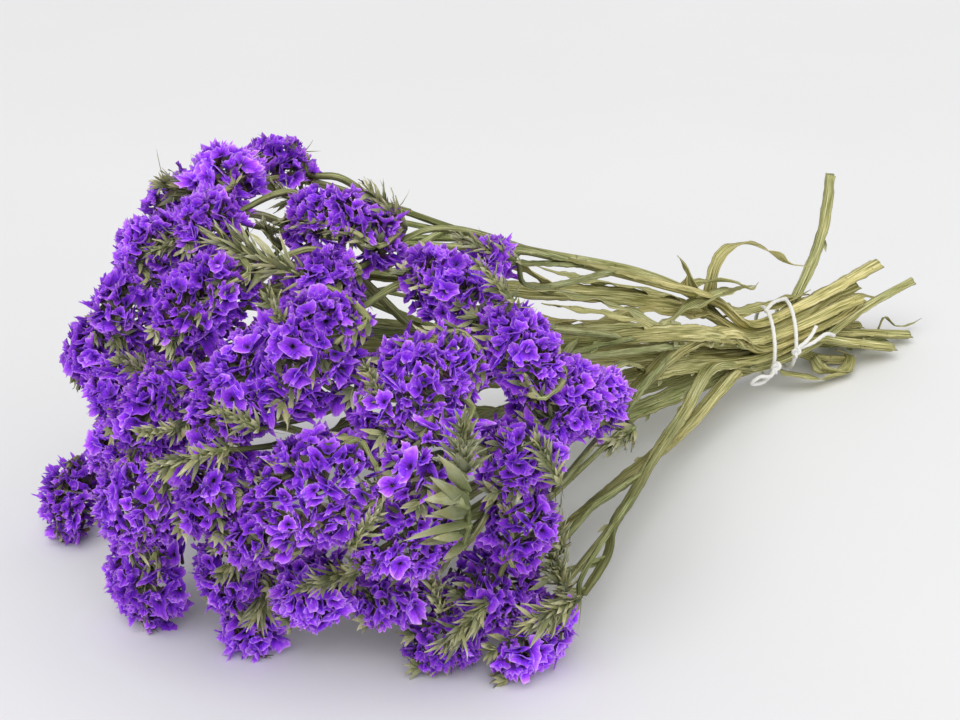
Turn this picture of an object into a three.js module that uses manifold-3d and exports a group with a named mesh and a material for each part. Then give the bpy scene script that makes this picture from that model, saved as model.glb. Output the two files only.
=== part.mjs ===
// A tied bunch of dried statice, lying down. Flat winged stems fan out of a white string
// and fork into spikes. Under each spike lies a row of green bracts, and on it stand
// papery violet calyces that open like cups. Other spikes turn their bracts outward.
//
// Millimetres, +Z up. The layout below is given from a point on the ground under the
// string: -X runs to the flowers and +X to the cut ends. The group is moved at the end so
// that its origin is the middle of the bottom of its box.
import * as THREE from 'three';
import { ConvexHull } from 'three/addons/math/ConvexHull.js';
import { mergeVertices } from 'three/addons/utils/BufferGeometryUtils.js';
import Module from 'manifold-3d';

const wasm = await Module();
wasm.setup();
const { Manifold, Mesh } = wasm;

// Clearances
const GAP = 0.3; // between one solid and the next
const WIDER = 1.9; // a sharp edge grows by this much more, so that its faces keep the gap
const FLAT_WIDER = 3.2; // and a blade's edge, which is sharper
const LEAST_STRAIGHT = 0.4; // how oblique a bent strap's ring may be, as a cosine
const NEIGHBOUR_REACH = 12; // spikes whose ends are further apart than this don't meet

// Winged stems
const STEM_WIDTH = 8.2; // of a strap with no width of its own
const STEM_THICK = 4.2;
const STEM_TAPER = 0.55; // share of its width that a strap loses by its fork
const STEM_RIB = 0.45; // half width of the rib, as a share of the wing
const TIED_WIDTH = 0.88; // share of its width that a strap keeps under the string
const WING_WAVE = 0.1; // share of the width by which a wing swells and narrows
const WAVES_ADDED = 9; // to a strap's points, for how often it does
const TWIST_LENGTH = 70; // a strap turns on edge over this length past the string
const LEAF_TOP = 0.3;
const LEAF_KEEL = 1.4;
const LEAF_ROOT = 0.25; // where on its swell a leaf starts, in half turns
const LEAF_SWELL = 0.6; // and how much of the swell it runs through

// Twigs from the fork of a stem to its spikes
const TWIG_WIDTH = 4.6;
const TWIG_THICK = 2.8;
const TWIG_TAPER = 0.3;
const TWIG_TOP = 0.6; // where its flat top and its keel lie, as shares of half its thickness
const TWIG_KEEL = 1.3;
const TWIG_BEND = 0.4; // share of the way before a spike over which its twig bends in
const TWIG_FOOT = -0.4; // where a twig meets its spike, as a share of the length
const TWIG_TIP = -0.14; // and where it ends inside the bracts
const LEAST_SIDEWAYS = 0.3; // share of its bend that a twig makes even to a spike straight ahead
const TWIG_BEHIND = 0.8; // how far a bend lies behind its spike's foot, as a share of its reach
const TWIG_UNDER = [0.85, 0.6]; // how far under it, with no sideways run and lost with all of it
const TWIG_ONWARD = 0.1; // and how far back along the strap
const TWIG_SUNK = 0.4; // how far a twig's foot lies below the axis of its spike
const FORK_STEP = 0.06; // share of the strap between one twig and the next
const FORK_FIRST = 0.1; // of a step, from the strap's end to the first twig

// Flower spikes
const CUP_ROOM = 124; // mm2 of a spike's length by width for each calyx
const CUP_DISH = 0.45; // how deep the calyces are dished, as a share of the dome
const RIM_STEP = 0.13; // how far each corner of a rim stands behind the one before
const GOLDEN_ANGLE = Math.PI * (3 - Math.sqrt(5));
const FACE_DROP = 0.45; // share of a spike's height that lies below its middle

// Bracts: pairs of pointed blades in a herringbone. Each has its tip and the notch behind
// it, in shares of half the spike's length and width, and heights from under the flowers.
const BRACT_TEETH = [
  { tip: [-0.2, 1.05], notch: [-0.1, 0.42], rib: -0.25 },
  { tip: [0.62, 1.02], notch: [0.6, 0.36], rib: 0.5 },
];
const BRACT_ENDS = [-0.95, 1.12];
const AXIS_DEPTH = 2.4; // the green axis of a spike below its flowers
const BRACT_LIFT = {
  base: -AXIS_DEPTH, end: -GAP / 2, rib: -GAP / 2, tip: -GAP / 2, notch: -2.0, keel: -5.0,
};

// Spikes that turn their bracts outward. Their heights are in shares of half their width.
const TUFT_TEETH = [
  { tip: [-0.3, 0.9], notch: [-0.34, 0.34], rib: -0.6 },
  { tip: [0.25, 1], notch: [0.21, 0.38], rib: -0.05 },
  { tip: [0.8, 0.75], notch: [0.78, 0.25], rib: 0.5 },
];
const TUFT_ENDS = [-1, 1.2];
const TUFT_LIFT = { base: -0.2, end: 0, rib: 0.35, tip: 0, notch: 0, keel: -0.45 };
const TUFT_ROOM = [ // the room that they need is plain
  { tip: [-0.45, 1], notch: [-0.2, 1.05], rib: -0.65 },
  { tip: [0.4, 1.05], notch: [0.9, 0.9], rib: 0.55 },
];
const TUFT_TWIG = [3, 2.4];
const TUFT_BACK = 0.5; // how far behind it its twig bends, as a share of its length
const TUFT_UNDER = 8; // and how far under it
const TUFT_SUNK = 0.3; // how far the twig runs on inside it, as a share of its length

// The heart of the bunch: flowers face away from it
const HEART = new THREE.Vector3(-262, -6, 46);
const FACING_REACH = new THREE.Vector3(110, 115, 105);
const LOWEST_FACING = 0.12;

// String
const STRING_RADIUS = 1.0;
const STRING_SIDES = 5;
const TIE_HALF_WIDTH = 14.6;
const TIE_HALF_HEIGHT = 16.6;
const TIE_HEIGHT = 24.5;
const TIE_FROM = 6; // the stems run side by side from here
const TIE_TO = -28; // to here
const TIE_EASE = 2;
const TIE_STEPS = 12;

// Colours
const STEM_COLOUR = 0x9d9a60;
const FLOWER_COLOUR = 0x6f34c8;
const STRING_COLOUR = 0xecebe6;

// Each stem: its tail from the cut end to the string, its place under the string as [y, z],
// its way on to its fork, how far its strap turns on edge past the string, its leaves, the
// spikes that turn their bracts outward, and its flower spikes. A flower spike has the number
// of its head, its middle, its length, width and height, and where it matters the way it runs.
const STEMS = [
  {
    name: 'stem_01', slot: [8, 31.7], twist: 20, width: 6.6,
    tail: [[27, 4, 98], [26, 4, 84], [23, 4, 66], [15, 5, 47]],
    reach: [[-58, 9, 57], [-89, 14, 75], [-165, 22, 106], [-225, 34, 137]],
    leaves: [
      { width: 7, route: [[-50, 8, 52], [-50, 5, 66], [-44, 6, 74], [-29, 6, 76], [-14, 3, 69],
        [-3, 0, 61], [11, -3, 57]] },
    ],
    tufts: [
      { root: [-260, 29, 145], tip: [-278, 42, 156], width: 14 },
      { root: [-302, 26, 159], tip: [-320, 36, 165], width: 14 },
    ],
    spikes: [
      { head: 1, at: [-259, 52, 157], size: [32, 22, 16], run: [-3, 12, 16] },
      { head: 2, at: [-310, 44, 156], size: [28, 22, 15] },
      { head: 3, at: [-301, 24, 169], size: [38, 30, 18], run: [0, 10, 17] },
    ],
  },
  {
    name: 'stem_02', slot: [0, 31.7], twist: 50,
    tail: [[50, 2, 35], [28, 1, 34]],
    reach: [[-60, 2, 52], [-100, 4, 69], [-180, 5, 95], [-255, 5, 122]],
    leaves: [
      { width: 9, route: [[-140, 6, 82], [-172, 13, 104], [-205, 14, 115]] },
    ],
    tufts: [
      { root: [-312, -42, 151], tip: [-335, -24, 164], width: 20 },
    ],
    spikes: [
      { head: 4, at: [-337, 18, 151], size: [34, 30, 18] },
      { head: 5, at: [-329, -8, 167], size: [28, 22, 14] },
    ],
  },
  {
    name: 'stem_03', slot: [0, 36.5], twist: 0,
    tail: [[60, -3, 46], [30, -1, 40]],
    reach: [[-58, -4, 59], [-100, -8, 80], [-190, -17, 122]],
    leaves: [],
    tufts: [
      { root: [-262, -37, 155], tip: [-272, -29, 169], width: 13 },
    ],
    spikes: [
      { head: 6, at: [-278, -21, 158], size: [50, 32, 20], run: [-8, 14, 12] },
      { head: 7, at: [-305, -44, 149], size: [30, 26, 16], run: [-12, 1, -16] },
      { head: 8, at: [-238, -58, 144], size: [30, 18, 12] },
    ],
  },
  {
    name: 'stem_04', slot: [8, 26.9], twist: 30,
    tail: [[62, 17, 14], [35, 12, 22]],
    reach: [[-100, 12, 50], [-200, 8, 80], [-270, 5, 100]],
    leaves: [],
    tufts: [],
    spikes: [
      { head: 9, at: [-357, 7, 137], size: [30, 26, 16] },
      { head: 10, at: [-363, 18, 118], size: [30, 26, 16] },
      { head: 11, at: [-365, -1, 111], size: [32, 26, 16] },
      { head: 12, at: [-330, 29, 99], size: [38, 30, 18] },
    ],
  },
  {
    name: 'stem_05', slot: [0, 26.9], twist: 60,
    tail: [[60, 5, 23], [32, 2, 26]],
    reach: [[-100, -14, 58], [-185, -26, 86], [-255, -35, 108]],
    leaves: [
      { width: 10, route: [[-90, -12, 55], [-135, -8, 82], [-190, -10, 104]] },
      { width: 8, route: [[-107, -15, 60], [-81, -10, 63], [-54, -6, 62], [-29, -3, 58]] },
      { width: 8, route: [[16, 2, 27], [48, 8, 23], [67, 9, 22], [81, 9, 17]] },
    ],
    tufts: [],
    spikes: [
      { head: 13, at: [-346, -29, 149], size: [44, 27, 18], run: [-14, 3, -14] },
      { head: 14, at: [-329, -68, 139], size: [50, 40, 21] },
    ],
  },
  {
    name: 'stem_06', slot: [0, 22.1], twist: 60,
    tail: [[80, -11, 4], [40, -4, 14]],
    reach: [[-100, -5, 44], [-190, -16, 69], [-270, -25, 88]],
    leaves: [],
    tufts: [],
    spikes: [
      { head: 15, at: [-350, -57, 126], size: [50, 32, 18] },
      { head: 16, at: [-368, -30, 114], size: [46, 28, 18] },
    ],
  },
  {
    name: 'stem_07', slot: [-8, 31.7], twist: 45,
    tail: [[38, -12, 36], [22, -9, 34]],
    reach: [[-100, -31, 64], [-200, -50, 95]],
    leaves: [
      { width: 9, route: [[-115, -34, 68], [-150, -34, 88], [-190, -32, 103]] },
    ],
    tufts: [],
    spikes: [
      { head: 17, at: [-300, -95, 127], size: [54, 36, 19] },
      { head: 18, at: [-267, -74, 146], size: [42, 28, 18], run: [-8, 14, 12] },
      { head: 19, at: [-260, -101, 130], size: [44, 30, 17], run: [-6, 13, 14] },
    ],
  },
  {
    name: 'stem_08', slot: [-8, 22.1], twist: 50,
    tail: [[58, -18, 6], [30, -13, 15]],
    reach: [[-100, -25, 46], [-170, -42, 63], [-235, -60, 80]],
    leaves: [
      { width: 9, route: [[-125, -32, 52], [-155, -46, 72], [-185, -58, 80]] },
    ],
    tufts: [
      { root: [-310, -131, 89], tip: [-306, -123, 124], width: 24 },
    ],
    spikes: [
      { head: 20, at: [-343, -88, 95], size: [54, 42, 20] },
      { head: 21, at: [-307, -109, 109], size: [46, 28, 18], run: [-12, 1, -16] },
    ],
  },
  {
    name: 'stem_09', slot: [-8, 26.9], twist: 40,
    tail: [[44, -5, 31], [24, -8, 28]],
    reach: [[-62, -19, 49], [-105, -30, 59], [-148, -48, 60], [-172, -60, 64]],
    leaves: [
      { width: 7, route: [[-63, -18, 47], [-57, -19, 40], [-44, -18, 35]] },
    ],
    tufts: [],
    spikes: [
      { head: 22, at: [-242, -105, 107], size: [42, 34, 17] },
      { head: 23, at: [-208, -90, 90], size: [28, 26, 15] },
      { head: 24, at: [-267, -112, 92], size: [36, 30, 17] },
    ],
  },
  {
    name: 'stem_10', slot: [0, 17.3], twist: 30,
    tail: [[70, -3, 1.9], [35, -1, 9]],
    reach: [[-100, -21, 30], [-170, -36, 41], [-235, -50, 52]],
    leaves: [],
    tufts: [
      { root: [-318, -79, 51], tip: [-337, -73, 49], width: 13 },
    ],
    spikes: [
      { head: 25, at: [-317, -106, 76], size: [40, 34, 19] },
      { head: 26, at: [-304, -83, 37], size: [34, 26, 16] },
      { head: 27, at: [-356, -73, 78], size: [38, 26, 17] },
      { head: 28, at: [-328, -64, 37], size: [34, 28, 16] },
    ],
  },
  {
    name: 'stem_11', slot: [-8, 17.3], twist: 30, width: 6.2,
    tail: [[88, -4, 29], [45, -8, 27]],
    reach: [[-80, -24, 38], [-113, -41, 34], [-150, -60, 33], [-183, -78, 30], [-200, -87, 29],
      [-211, -96, 25], [-235, -108, 22]],
    leaves: [],
    tufts: [
      { root: [-250, -114, 32], tip: [-257, -112, 53], width: 16 },
      { root: [-255, -126, 37], tip: [-273, -122, 32], width: 16 },
      { root: [-282, -106, 35], tip: [-300, -105, 25], width: 15 },
    ],
    spikes: [
      { head: 29, at: [-261, -112, 15], size: [42, 26, 16] },
      { head: 30, at: [-286, -92, 15], size: [32, 28, 17] },
    ],
  },
  {
    name: 'stem_12', slot: [8, 17.3], twist: 20,
    tail: [[50, 12, 1.9], [25, 10, 10]],
    reach: [[-100, 0, 26], [-190, -6, 40], [-270, -12, 55]],
    leaves: [],
    tufts: [
      { root: [-329, -41, 40], tip: [-342, -48, 24], width: 16 },
    ],
    spikes: [
      { head: 31, at: [-380, -31, 81], size: [40, 34, 18] },
      { head: 32, at: [-357, 12, 23], size: [46, 38, 18] },
      { head: 33, at: [-347, -35, 40], size: [32, 28, 16] },
      { head: 34, at: [-337, -32, 16.8], size: [38, 26, 16] },
      { head: 35, at: [-366, -59, 96], size: [42, 26, 16] },
      { head: 36, at: [-372, -11, 92], size: [32, 26, 16] },
    ],
  },
  {
    name: 'stem_13', slot: [0, 12.5], twist: 30, width: 6.6,
    tail: [[36, -8, 1.9], [18, -4, 7]],
    reach: [[-58, -18, 26], [-98, -33, 23], [-132, -47, 25], [-175, -64, 30], [-216, -82, 36],
      [-229, -88, 38]],
    leaves: [
      { width: 7, route: [[13, -5, 9], [11, -14, 6], [18, -19, 4], [28, -16, 3.4], [34, -11, 6],
        [27, -8, 10]] },
    ],
    tufts: [
      { root: [-251, -112, 49], tip: [-262, -112, 72], width: 16 },
    ],
    spikes: [
      { head: 37, at: [-271, -117, 70], size: [36, 26, 17], run: [3, 9, 18] },
      { head: 38, at: [-268, -100, 33], size: [40, 34, 18] },
    ],
  },
  {
    name: 'stem_14', slot: [8, 22.1], twist: 20,
    tail: [[66, 10, 6], [35, 10, 15]],
    reach: [[-100, 28, 36], [-170, 40, 48], [-240, 52, 60]],
    leaves: [
      { width: 9, route: [[-115, 30, 38], [-155, 46, 54], [-195, 58, 60]] },
    ],
    tufts: [
      { root: [-250, 96, 84], tip: [-268, 98, 92], width: 16 },
      { root: [-300, 98, 92], tip: [-318, 92, 84], width: 14 },
      { root: [-300, 104, 48], tip: [-318, 98, 44], width: 14 },
      { root: [-262, 70, 118], tip: [-276, 66, 126], width: 14 },
    ],
    spikes: [
      { head: 39, at: [-343, 94, 17], size: [36, 28, 17] },
      { head: 40, at: [-296, 72, 110], size: [44, 38, 20] },
      { head: 41, at: [-319, 65, 69], size: [46, 40, 20] },
      { head: 42, at: [-283, 95, 74], size: [48, 42, 20] },
      { head: 43, at: [-295, 90, 22], size: [46, 40, 20] },
      { head: 44, at: [-241, 65, 90], size: [42, 34, 18] },
      { head: 45, at: [-235, 85, 61], size: [48, 40, 20] },
    ],
  },
];

// The string: two slanted turns round the stems, the stretch over the top from one to the
// other, the loose loop at the first knot and the two ends at the second.
const TURNS = [
  { at: -17, slant: 9 },
  { at: -2, slant: 9 },
];
const STRING_ROUTES = [
  [[-19, -1, 41.4], [-10, 2, 42.4], [0, 3, 41.4]],
  [[-26, -15, 19], [-33, -19, 18], [-41, -19, 20], [-44, -17, 17], [-36, -17, 15], [-25, -15.5, 18]],
  [[-11, -14.5, 24], [-8, -17, 27], [-3, -17, 30], [1, -16, 33]],
  [[-11, -14.5, 24], [-4, -18, 26], [6, -18, 28], [15, -16, 24]],
];
const KNOTS = [
  { at: [-25.5, -15.5, 19], size: [2.8, 2.6, 3.4] },
  { at: [-12, -15.8, 23], size: [2.6, 2.4, 3.2] },
];

const vector = (values) => new THREE.Vector3(...values);

// ---- Closed bodies ----

// A three.js geometry as a solid: its shared corners are merged and its empty triangles,
// such as those at a pole, are dropped.
function solid(geometry) {
  const bare = geometry.clone();
  bare.deleteAttribute('normal');
  bare.deleteAttribute('uv');
  const merged = mergeVertices(bare, 1e-4);
  const corners = [];
  const index = merged.index.array;
  for (let i = 0; i < index.length; i += 3) {
    const [a, b, c] = [index[i], index[i + 1], index[i + 2]];
    if (a !== b && b !== c && c !== a) corners.push(a, b, c);
  }
  return new Manifold(new Mesh({
    numProp: 3,
    vertProperties: new Float32Array(merged.attributes.position.array),
    triVerts: new Uint32Array(corners),
  }));
}

// A closed body through rings of points, each ring turning the same way round the line
// that runs through them. A ring of one point is a tip.
function loft(rings) {
  const positions = [];
  const corners = [];
  const starts = [];
  for (const ring of rings) {
    starts.push(positions.length / 3);
    for (const point of ring) positions.push(point.x, point.y, point.z);
  }
  for (let i = 0; i + 1 < rings.length; i += 1) {
    const count = rings[i].length;
    const [low, high] = [starts[i], starts[i + 1]];
    for (let j = 0; j < count; j += 1) {
      const k = (j + 1) % count;
      if (rings[i + 1].length === 1) {
        corners.push(low + j, low + k, high);
      } else {
        corners.push(low + j, low + k, high + k, low + j, high + k, high + j);
      }
    }
  }
  const first = rings[0].length;
  for (let j = 1; j + 1 < first; j += 1) corners.push(0, j + 1, j);
  const last = rings[rings.length - 1].length;
  const end = starts[rings.length - 1];
  for (let j = 1; j + 1 < last; j += 1) corners.push(end, end + j, end + j + 1);
  const geometry = new THREE.BufferGeometry();
  geometry.setAttribute('position', new THREE.Float32BufferAttribute(positions, 3));
  geometry.setIndex(corners);
  return geometry;
}

// A strap or twig along a route, with a ring at each of its points. side(middle, next) is
// the way its width points there, where next is that way at the point that follows, and
// section(share, grow, middle) is its outline as [across, up] pairs. grow widens it all
// round, and more where it bends.
function sweep(route, side, section, grow = 0) {
  const curve = new THREE.CatmullRomCurve3(route.map(vector), false, 'centripetal');
  const steps = route.length - 1;
  const rings = [];
  let across;
  for (let i = steps; i >= 0; i -= 1) {
    const share = i / steps;
    const along = curve.getTangent(share);
    const middle = vector(route[i]);
    let straight = 1;
    for (const other of [i - 1, i + 1]) {
      if (!route[other]) continue;
      const chord = vector(route[other]).sub(middle).normalize();
      straight = Math.min(straight, Math.abs(chord.dot(along)));
    }
    const more = grow / Math.max(straight, LEAST_STRAIGHT);
    const width = side(middle, across);
    across = width.clone().addScaledVector(along, -width.dot(along)).normalize();
    const wide = across;
    const up = along.clone().cross(wide);
    rings.unshift(section(share, more, middle).map(([x, y]) => (
      middle.clone().addScaledVector(wide, x).addScaledVector(up, y))));
  }
  return solid(loft(rings));
}

// A winged strap: a raised rib in the middle and a thin wing on each side.
function winged(width, thick, waves) {
  return (share, grow, middle) => {
    const tied = middle.x < TIE_FROM + TIE_EASE && middle.x > TIE_TO - TIE_EASE;
    const taper = 1 - STEM_TAPER * share ** 3;
    const wave = tied ? TIED_WIDTH : 1 + WING_WAVE * Math.sin(share * waves);
    const wing = (width / 2) * taper * wave + grow * WIDER;
    const rib = wing * STEM_RIB;
    const rise = (thick / 2) * taper + grow;
    return [[wing, 0], [rib, rise], [-rib, rise], [-wing, 0], [-rib, -rise], [rib, -rise]];
  };
}

// The way a twig's width points: as given at its end, and carried back with no twist.
const carried = (end) => (middle, next) => next ?? end;

// A twig with three edges, flat on top.
function edged(width, thick) {
  return (share, grow) => {
    const taper = 1 - TWIG_TAPER * share;
    const wing = (width / 2) * taper + grow * WIDER;
    const rise = (thick / 2) * taper + grow * WIDER;
    return [[wing, rise * TWIG_TOP], [-wing, rise * TWIG_TOP], [0, -rise * TWIG_KEEL]];
  };
}

// A leaf or bract blade: widest a third of the way along, pointed, keeled below.
function blade(route, side, width, keel, grow = 0) {
  const section = (share, extra) => {
    if (share === 1) return [[0, 0]];
    const swell = Math.sin(Math.PI * (LEAF_ROOT + LEAF_SWELL * share));
    const half = (width / 2) * swell + extra * FLAT_WIDER;
    const top = LEAF_TOP + extra;
    return [[half, top], [-half, top], [0, -keel * swell - extra]];
  };
  return sweep(route, () => side, section, grow);
}

// ---- Flower spikes ----

// The way the flowers at a place face: out of the bunch, and never straight down.
function facing(place) {
  const out = place.clone().sub(HEART).divide(FACING_REACH).normalize();
  out.z = Math.max(out.z, LOWEST_FACING);
  return out.normalize();
}

// A spike's own axes: x runs along it, z is the way its flowers face.
function spikeAxes(spike, fork) {
  const at = vector(spike.at);
  const face = facing(at);
  const onward = at.clone().sub(fork).normalize();
  const run = spike.run ? vector(spike.run) : onward.clone();
  run.addScaledVector(face, -run.dot(face)).normalize();
  const sideways = Math.min(1, LEAST_SIDEWAYS + Math.max(0, run.dot(onward)));
  const across = face.clone().cross(run);
  const [length, width, height] = spike.size;
  const foot = at.clone().addScaledVector(face, -height * FACE_DROP);
  const matrix = new THREE.Matrix4().makeBasis(run, across, face).setPosition(foot);
  const radius = (length + width) / 4;
  return {
    ...spike, middle: at, face, run, across, foot, length, width, height, matrix, radius, sideways,
  };
}

// The flowers of one spike: calyces side by side over a half dome, their middles spread by
// the golden angle. Each is a cup with a sunk middle, and it shares its raised rim with the
// cups around it.
function flowers(spike) {
  const reach = new THREE.Vector3(spike.length / 2, spike.width / 2, spike.height);
  const count = 2 * Math.round((spike.length * spike.width) / CUP_ROOM);
  const middles = [];
  for (let i = 0; i < count; i += 1) {
    const lean = Math.acos(1 - (2 * i + 1) / count);
    const turn = i * GOLDEN_ANGLE + spike.middle.x + spike.middle.y;
    middles.push(new THREE.Vector3(
      Math.sin(lean) * Math.cos(turn), Math.sin(lean) * Math.sin(turn), Math.cos(lean)));
  }
  const { faces } = new ConvexHull().setFromPoints(middles);
  const rims = new Map(faces.map((face, i) => [
    face, face.midpoint.clone().normalize().multiplyScalar(1 + RIM_STEP * (1 - (i % 3)))]));
  const points = [];
  for (const face of faces) {
    for (const edge of [face.edge, face.edge.next, face.edge.prev]) {
      const middle = edge.tail().point.clone().multiplyScalar(1 - CUP_DISH);
      points.push(middle, rims.get(edge.twin.face), rims.get(face));
    }
  }
  const dome = new THREE.BufferGeometry().setFromPoints(points);
  dome.scale(...reach.toArray()).applyMatrix4(spike.matrix);
  const below = spike.face.dot(spike.foot) + GAP / 2;
  return solid(dome).trimByPlane(spike.face.toArray(), below);
}

// A keeled body with teeth along both its sides. place(x, y, z) gives its points, ends where
// it starts and ends along x, and lift the height of each kind of point.
function toothed(place, [start, end], teeth, lift) {
  const points = [place(start, 0, lift.base), place(end, 0, lift.end)];
  const add = (point) => points.push(point) - 1;
  const top = teeth.map(({ rib }) => add(place(rib, 0, lift.rib)));
  const keel = teeth.map(({ rib }) => add(place(rib, 0, lift.keel)));
  const corners = [];
  for (const turn of [1, -1]) {
    const tips = teeth.map(({ tip: [x, y] }) => add(place(x, turn * y, lift.tip)));
    const notches = teeth.map(({ notch: [x, y] }) => add(place(x, turn * y, lift.notch)));
    for (const [rib, outward] of [[top, turn], [keel, -turn]]) {
      const faces = [];
      for (const [i, tip] of tips.entries()) {
        faces.push([i > 0 ? notches[i - 1] : 0, rib[i], tip], [tip, rib[i], notches[i]]);
        if (i > 0) faces.push([notches[i - 1], rib[i - 1], rib[i]]);
      }
      faces.push([notches[notches.length - 1], rib[rib.length - 1], 1]);
      for (const [p, q, r] of faces) corners.push(...(outward > 0 ? [p, q, r] : [p, r, q]));
    }
  }
  const geometry = new THREE.BufferGeometry();
  geometry.setFromPoints(points);
  geometry.setIndex(corners);
  return solid(geometry);
}

// The bracts of one spike, cut to the rib in one body that lies under the flowers.
function bracts(spike) {
  const [half, wide] = [spike.length / 2, spike.width / 2];
  const place = (x, y, z) => new THREE.Vector3(x * half, y * wide, z).applyMatrix4(spike.matrix);
  return toothed(place, BRACT_ENDS, BRACT_TEETH, BRACT_LIFT);
}

// A spike that turns its bracts outward, and the twig that carries it from the strap.
function tuft({ root, tip, width }, start, grow) {
  const [foot, end] = [vector(root), vector(tip)];
  const length = foot.distanceTo(end);
  const run = end.clone().sub(foot).normalize();
  const face = facing(foot);
  face.addScaledVector(run, -face.dot(run)).normalize();
  const across = face.clone().cross(run);
  const middle = foot.clone().lerp(end, 0.5);
  const matrix = new THREE.Matrix4().makeBasis(run, across, face).setPosition(middle);
  const [half, wide] = [length / 2 + grow, width / 2 + grow * WIDER];
  const place = (x, y, z) => (
    new THREE.Vector3(x * half, y * wide, z * wide + Math.sign(z) * grow).applyMatrix4(matrix));
  const bend = foot.clone().addScaledVector(run, -length * TUFT_BACK)
    .addScaledVector(face, -TUFT_UNDER);
  const inside = foot.clone().addScaledVector(run, length * TUFT_SUNK);
  const twig = [start, bend, foot, inside].map((point) => point.toArray());
  return [
    toothed(place, TUFT_ENDS, grow > 0 ? TUFT_ROOM : TUFT_TEETH, TUFT_LIFT),
    sweep(twig, carried(across), edged(...TUFT_TWIG), grow),
  ];
}

// Cuts a body back to a spike's own room: the planes between it and its neighbours.
function keepRoom(body, spike, spikes) {
  let kept = body;
  for (const other of spikes) {
    if (other === spike) continue;
    const toward = other.middle.clone().sub(spike.middle);
    const apart = toward.length();
    if (apart > (spike.length + other.length) / 2 + NEIGHBOUR_REACH) continue;
    toward.normalize();
    const share = (apart * apart + spike.radius ** 2 - other.radius ** 2) / (2 * apart);
    const limit = toward.dot(spike.middle) + share - GAP / 2;
    kept = kept.trimByPlane(toward.clone().negate().toArray(), -limit);
  }
  return kept;
}

// ---- Stems ----

const SIDE = new THREE.Vector3(0, 1, 0);
const UP = new THREE.Vector3(0, 0, 1);

// The points of a stem's strap from its cut end to its fork.
function strapRoute(stem) {
  const tied = [TIE_FROM, TIE_TO].map((x) => [x, ...stem.slot]);
  return [...stem.tail, ...tied, ...stem.reach];
}

// The way a strap's width points: flat under the string, turned on edge further on.
function strapSide(stem) {
  return (middle) => {
    const share = THREE.MathUtils.smoothstep(TIE_TO - middle.x, 0, TWIST_LENGTH);
    const turn = THREE.MathUtils.degToRad(stem.twist * share);
    return new THREE.Vector3(0, Math.cos(turn), Math.sin(turn));
  };
}

// The way of a twig from a point on the strap to a spike's foot and in under its flowers.
function twigRoute(spike, start, onward) {
  const place = (x, z) => new THREE.Vector3(x, 0, z).applyMatrix4(spike.matrix);
  const foot = place(spike.length * TWIG_FOOT, -AXIS_DEPTH - TWIG_SUNK);
  const tip = place(spike.length * TWIG_TIP, -AXIS_DEPTH);
  const reach = foot.distanceTo(start) * TWIG_BEND;
  const [under, lost] = TWIG_UNDER;
  const bend = foot.clone()
    .addScaledVector(spike.run, -reach * TWIG_BEHIND * spike.sideways)
    .addScaledVector(spike.face, -reach * (under - lost * spike.sideways))
    .addScaledVector(onward, -reach * TWIG_ONWARD);
  return [start, bend, foot, tip].map((point) => point.toArray());
}

// Every strap, twig, tuft and leaf of one stem, as bodies. With grow they are the room it
// needs. The twigs leave the end of the strap one after another.
function stemParts(stem, spikes, grow = 0) {
  const route = strapRoute(stem);
  const curve = new THREE.CatmullRomCurve3(route.map(vector), false, 'centripetal');
  const section = winged(stem.width ?? STEM_WIDTH, STEM_THICK, WAVES_ADDED + route.length);
  const parts = [sweep(route, strapSide(stem), section, grow)];
  const fork = (i) => 1 - (i + FORK_FIRST) * FORK_STEP;
  for (const [i, spike] of spikes.entries()) {
    const twig = twigRoute(spike, curve.getPointAt(fork(i)), curve.getTangentAt(fork(i)));
    parts.push(sweep(twig, carried(spike.across), edged(TWIG_WIDTH, TWIG_THICK), grow));
  }
  for (const [i, spec] of stem.tufts.entries()) {
    parts.push(...tuft(spec, curve.getPointAt(fork(spikes.length + i)), grow));
  }
  for (const leaf of stem.leaves) {
    parts.push(blade(leaf.route, SIDE, leaf.width, LEAF_KEEL, grow));
  }
  return parts;
}

// The largest of the bodies that a cut leaves.
function largest(body) {
  const pieces = body.decompose();
  pieces.sort((a, b) => b.volume() - a.volume());
  return pieces[0];
}

// ---- The string ----

function cord(route) {
  const outline = [];
  for (let i = 0; i < STRING_SIDES; i += 1) {
    const turn = (i * 2 * Math.PI) / STRING_SIDES;
    outline.push([STRING_RADIUS * Math.cos(turn), STRING_RADIUS * Math.sin(turn)]);
  }
  return sweep(route, () => new THREE.Vector3(0.35, 0.2, 1), () => outline);
}

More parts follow.
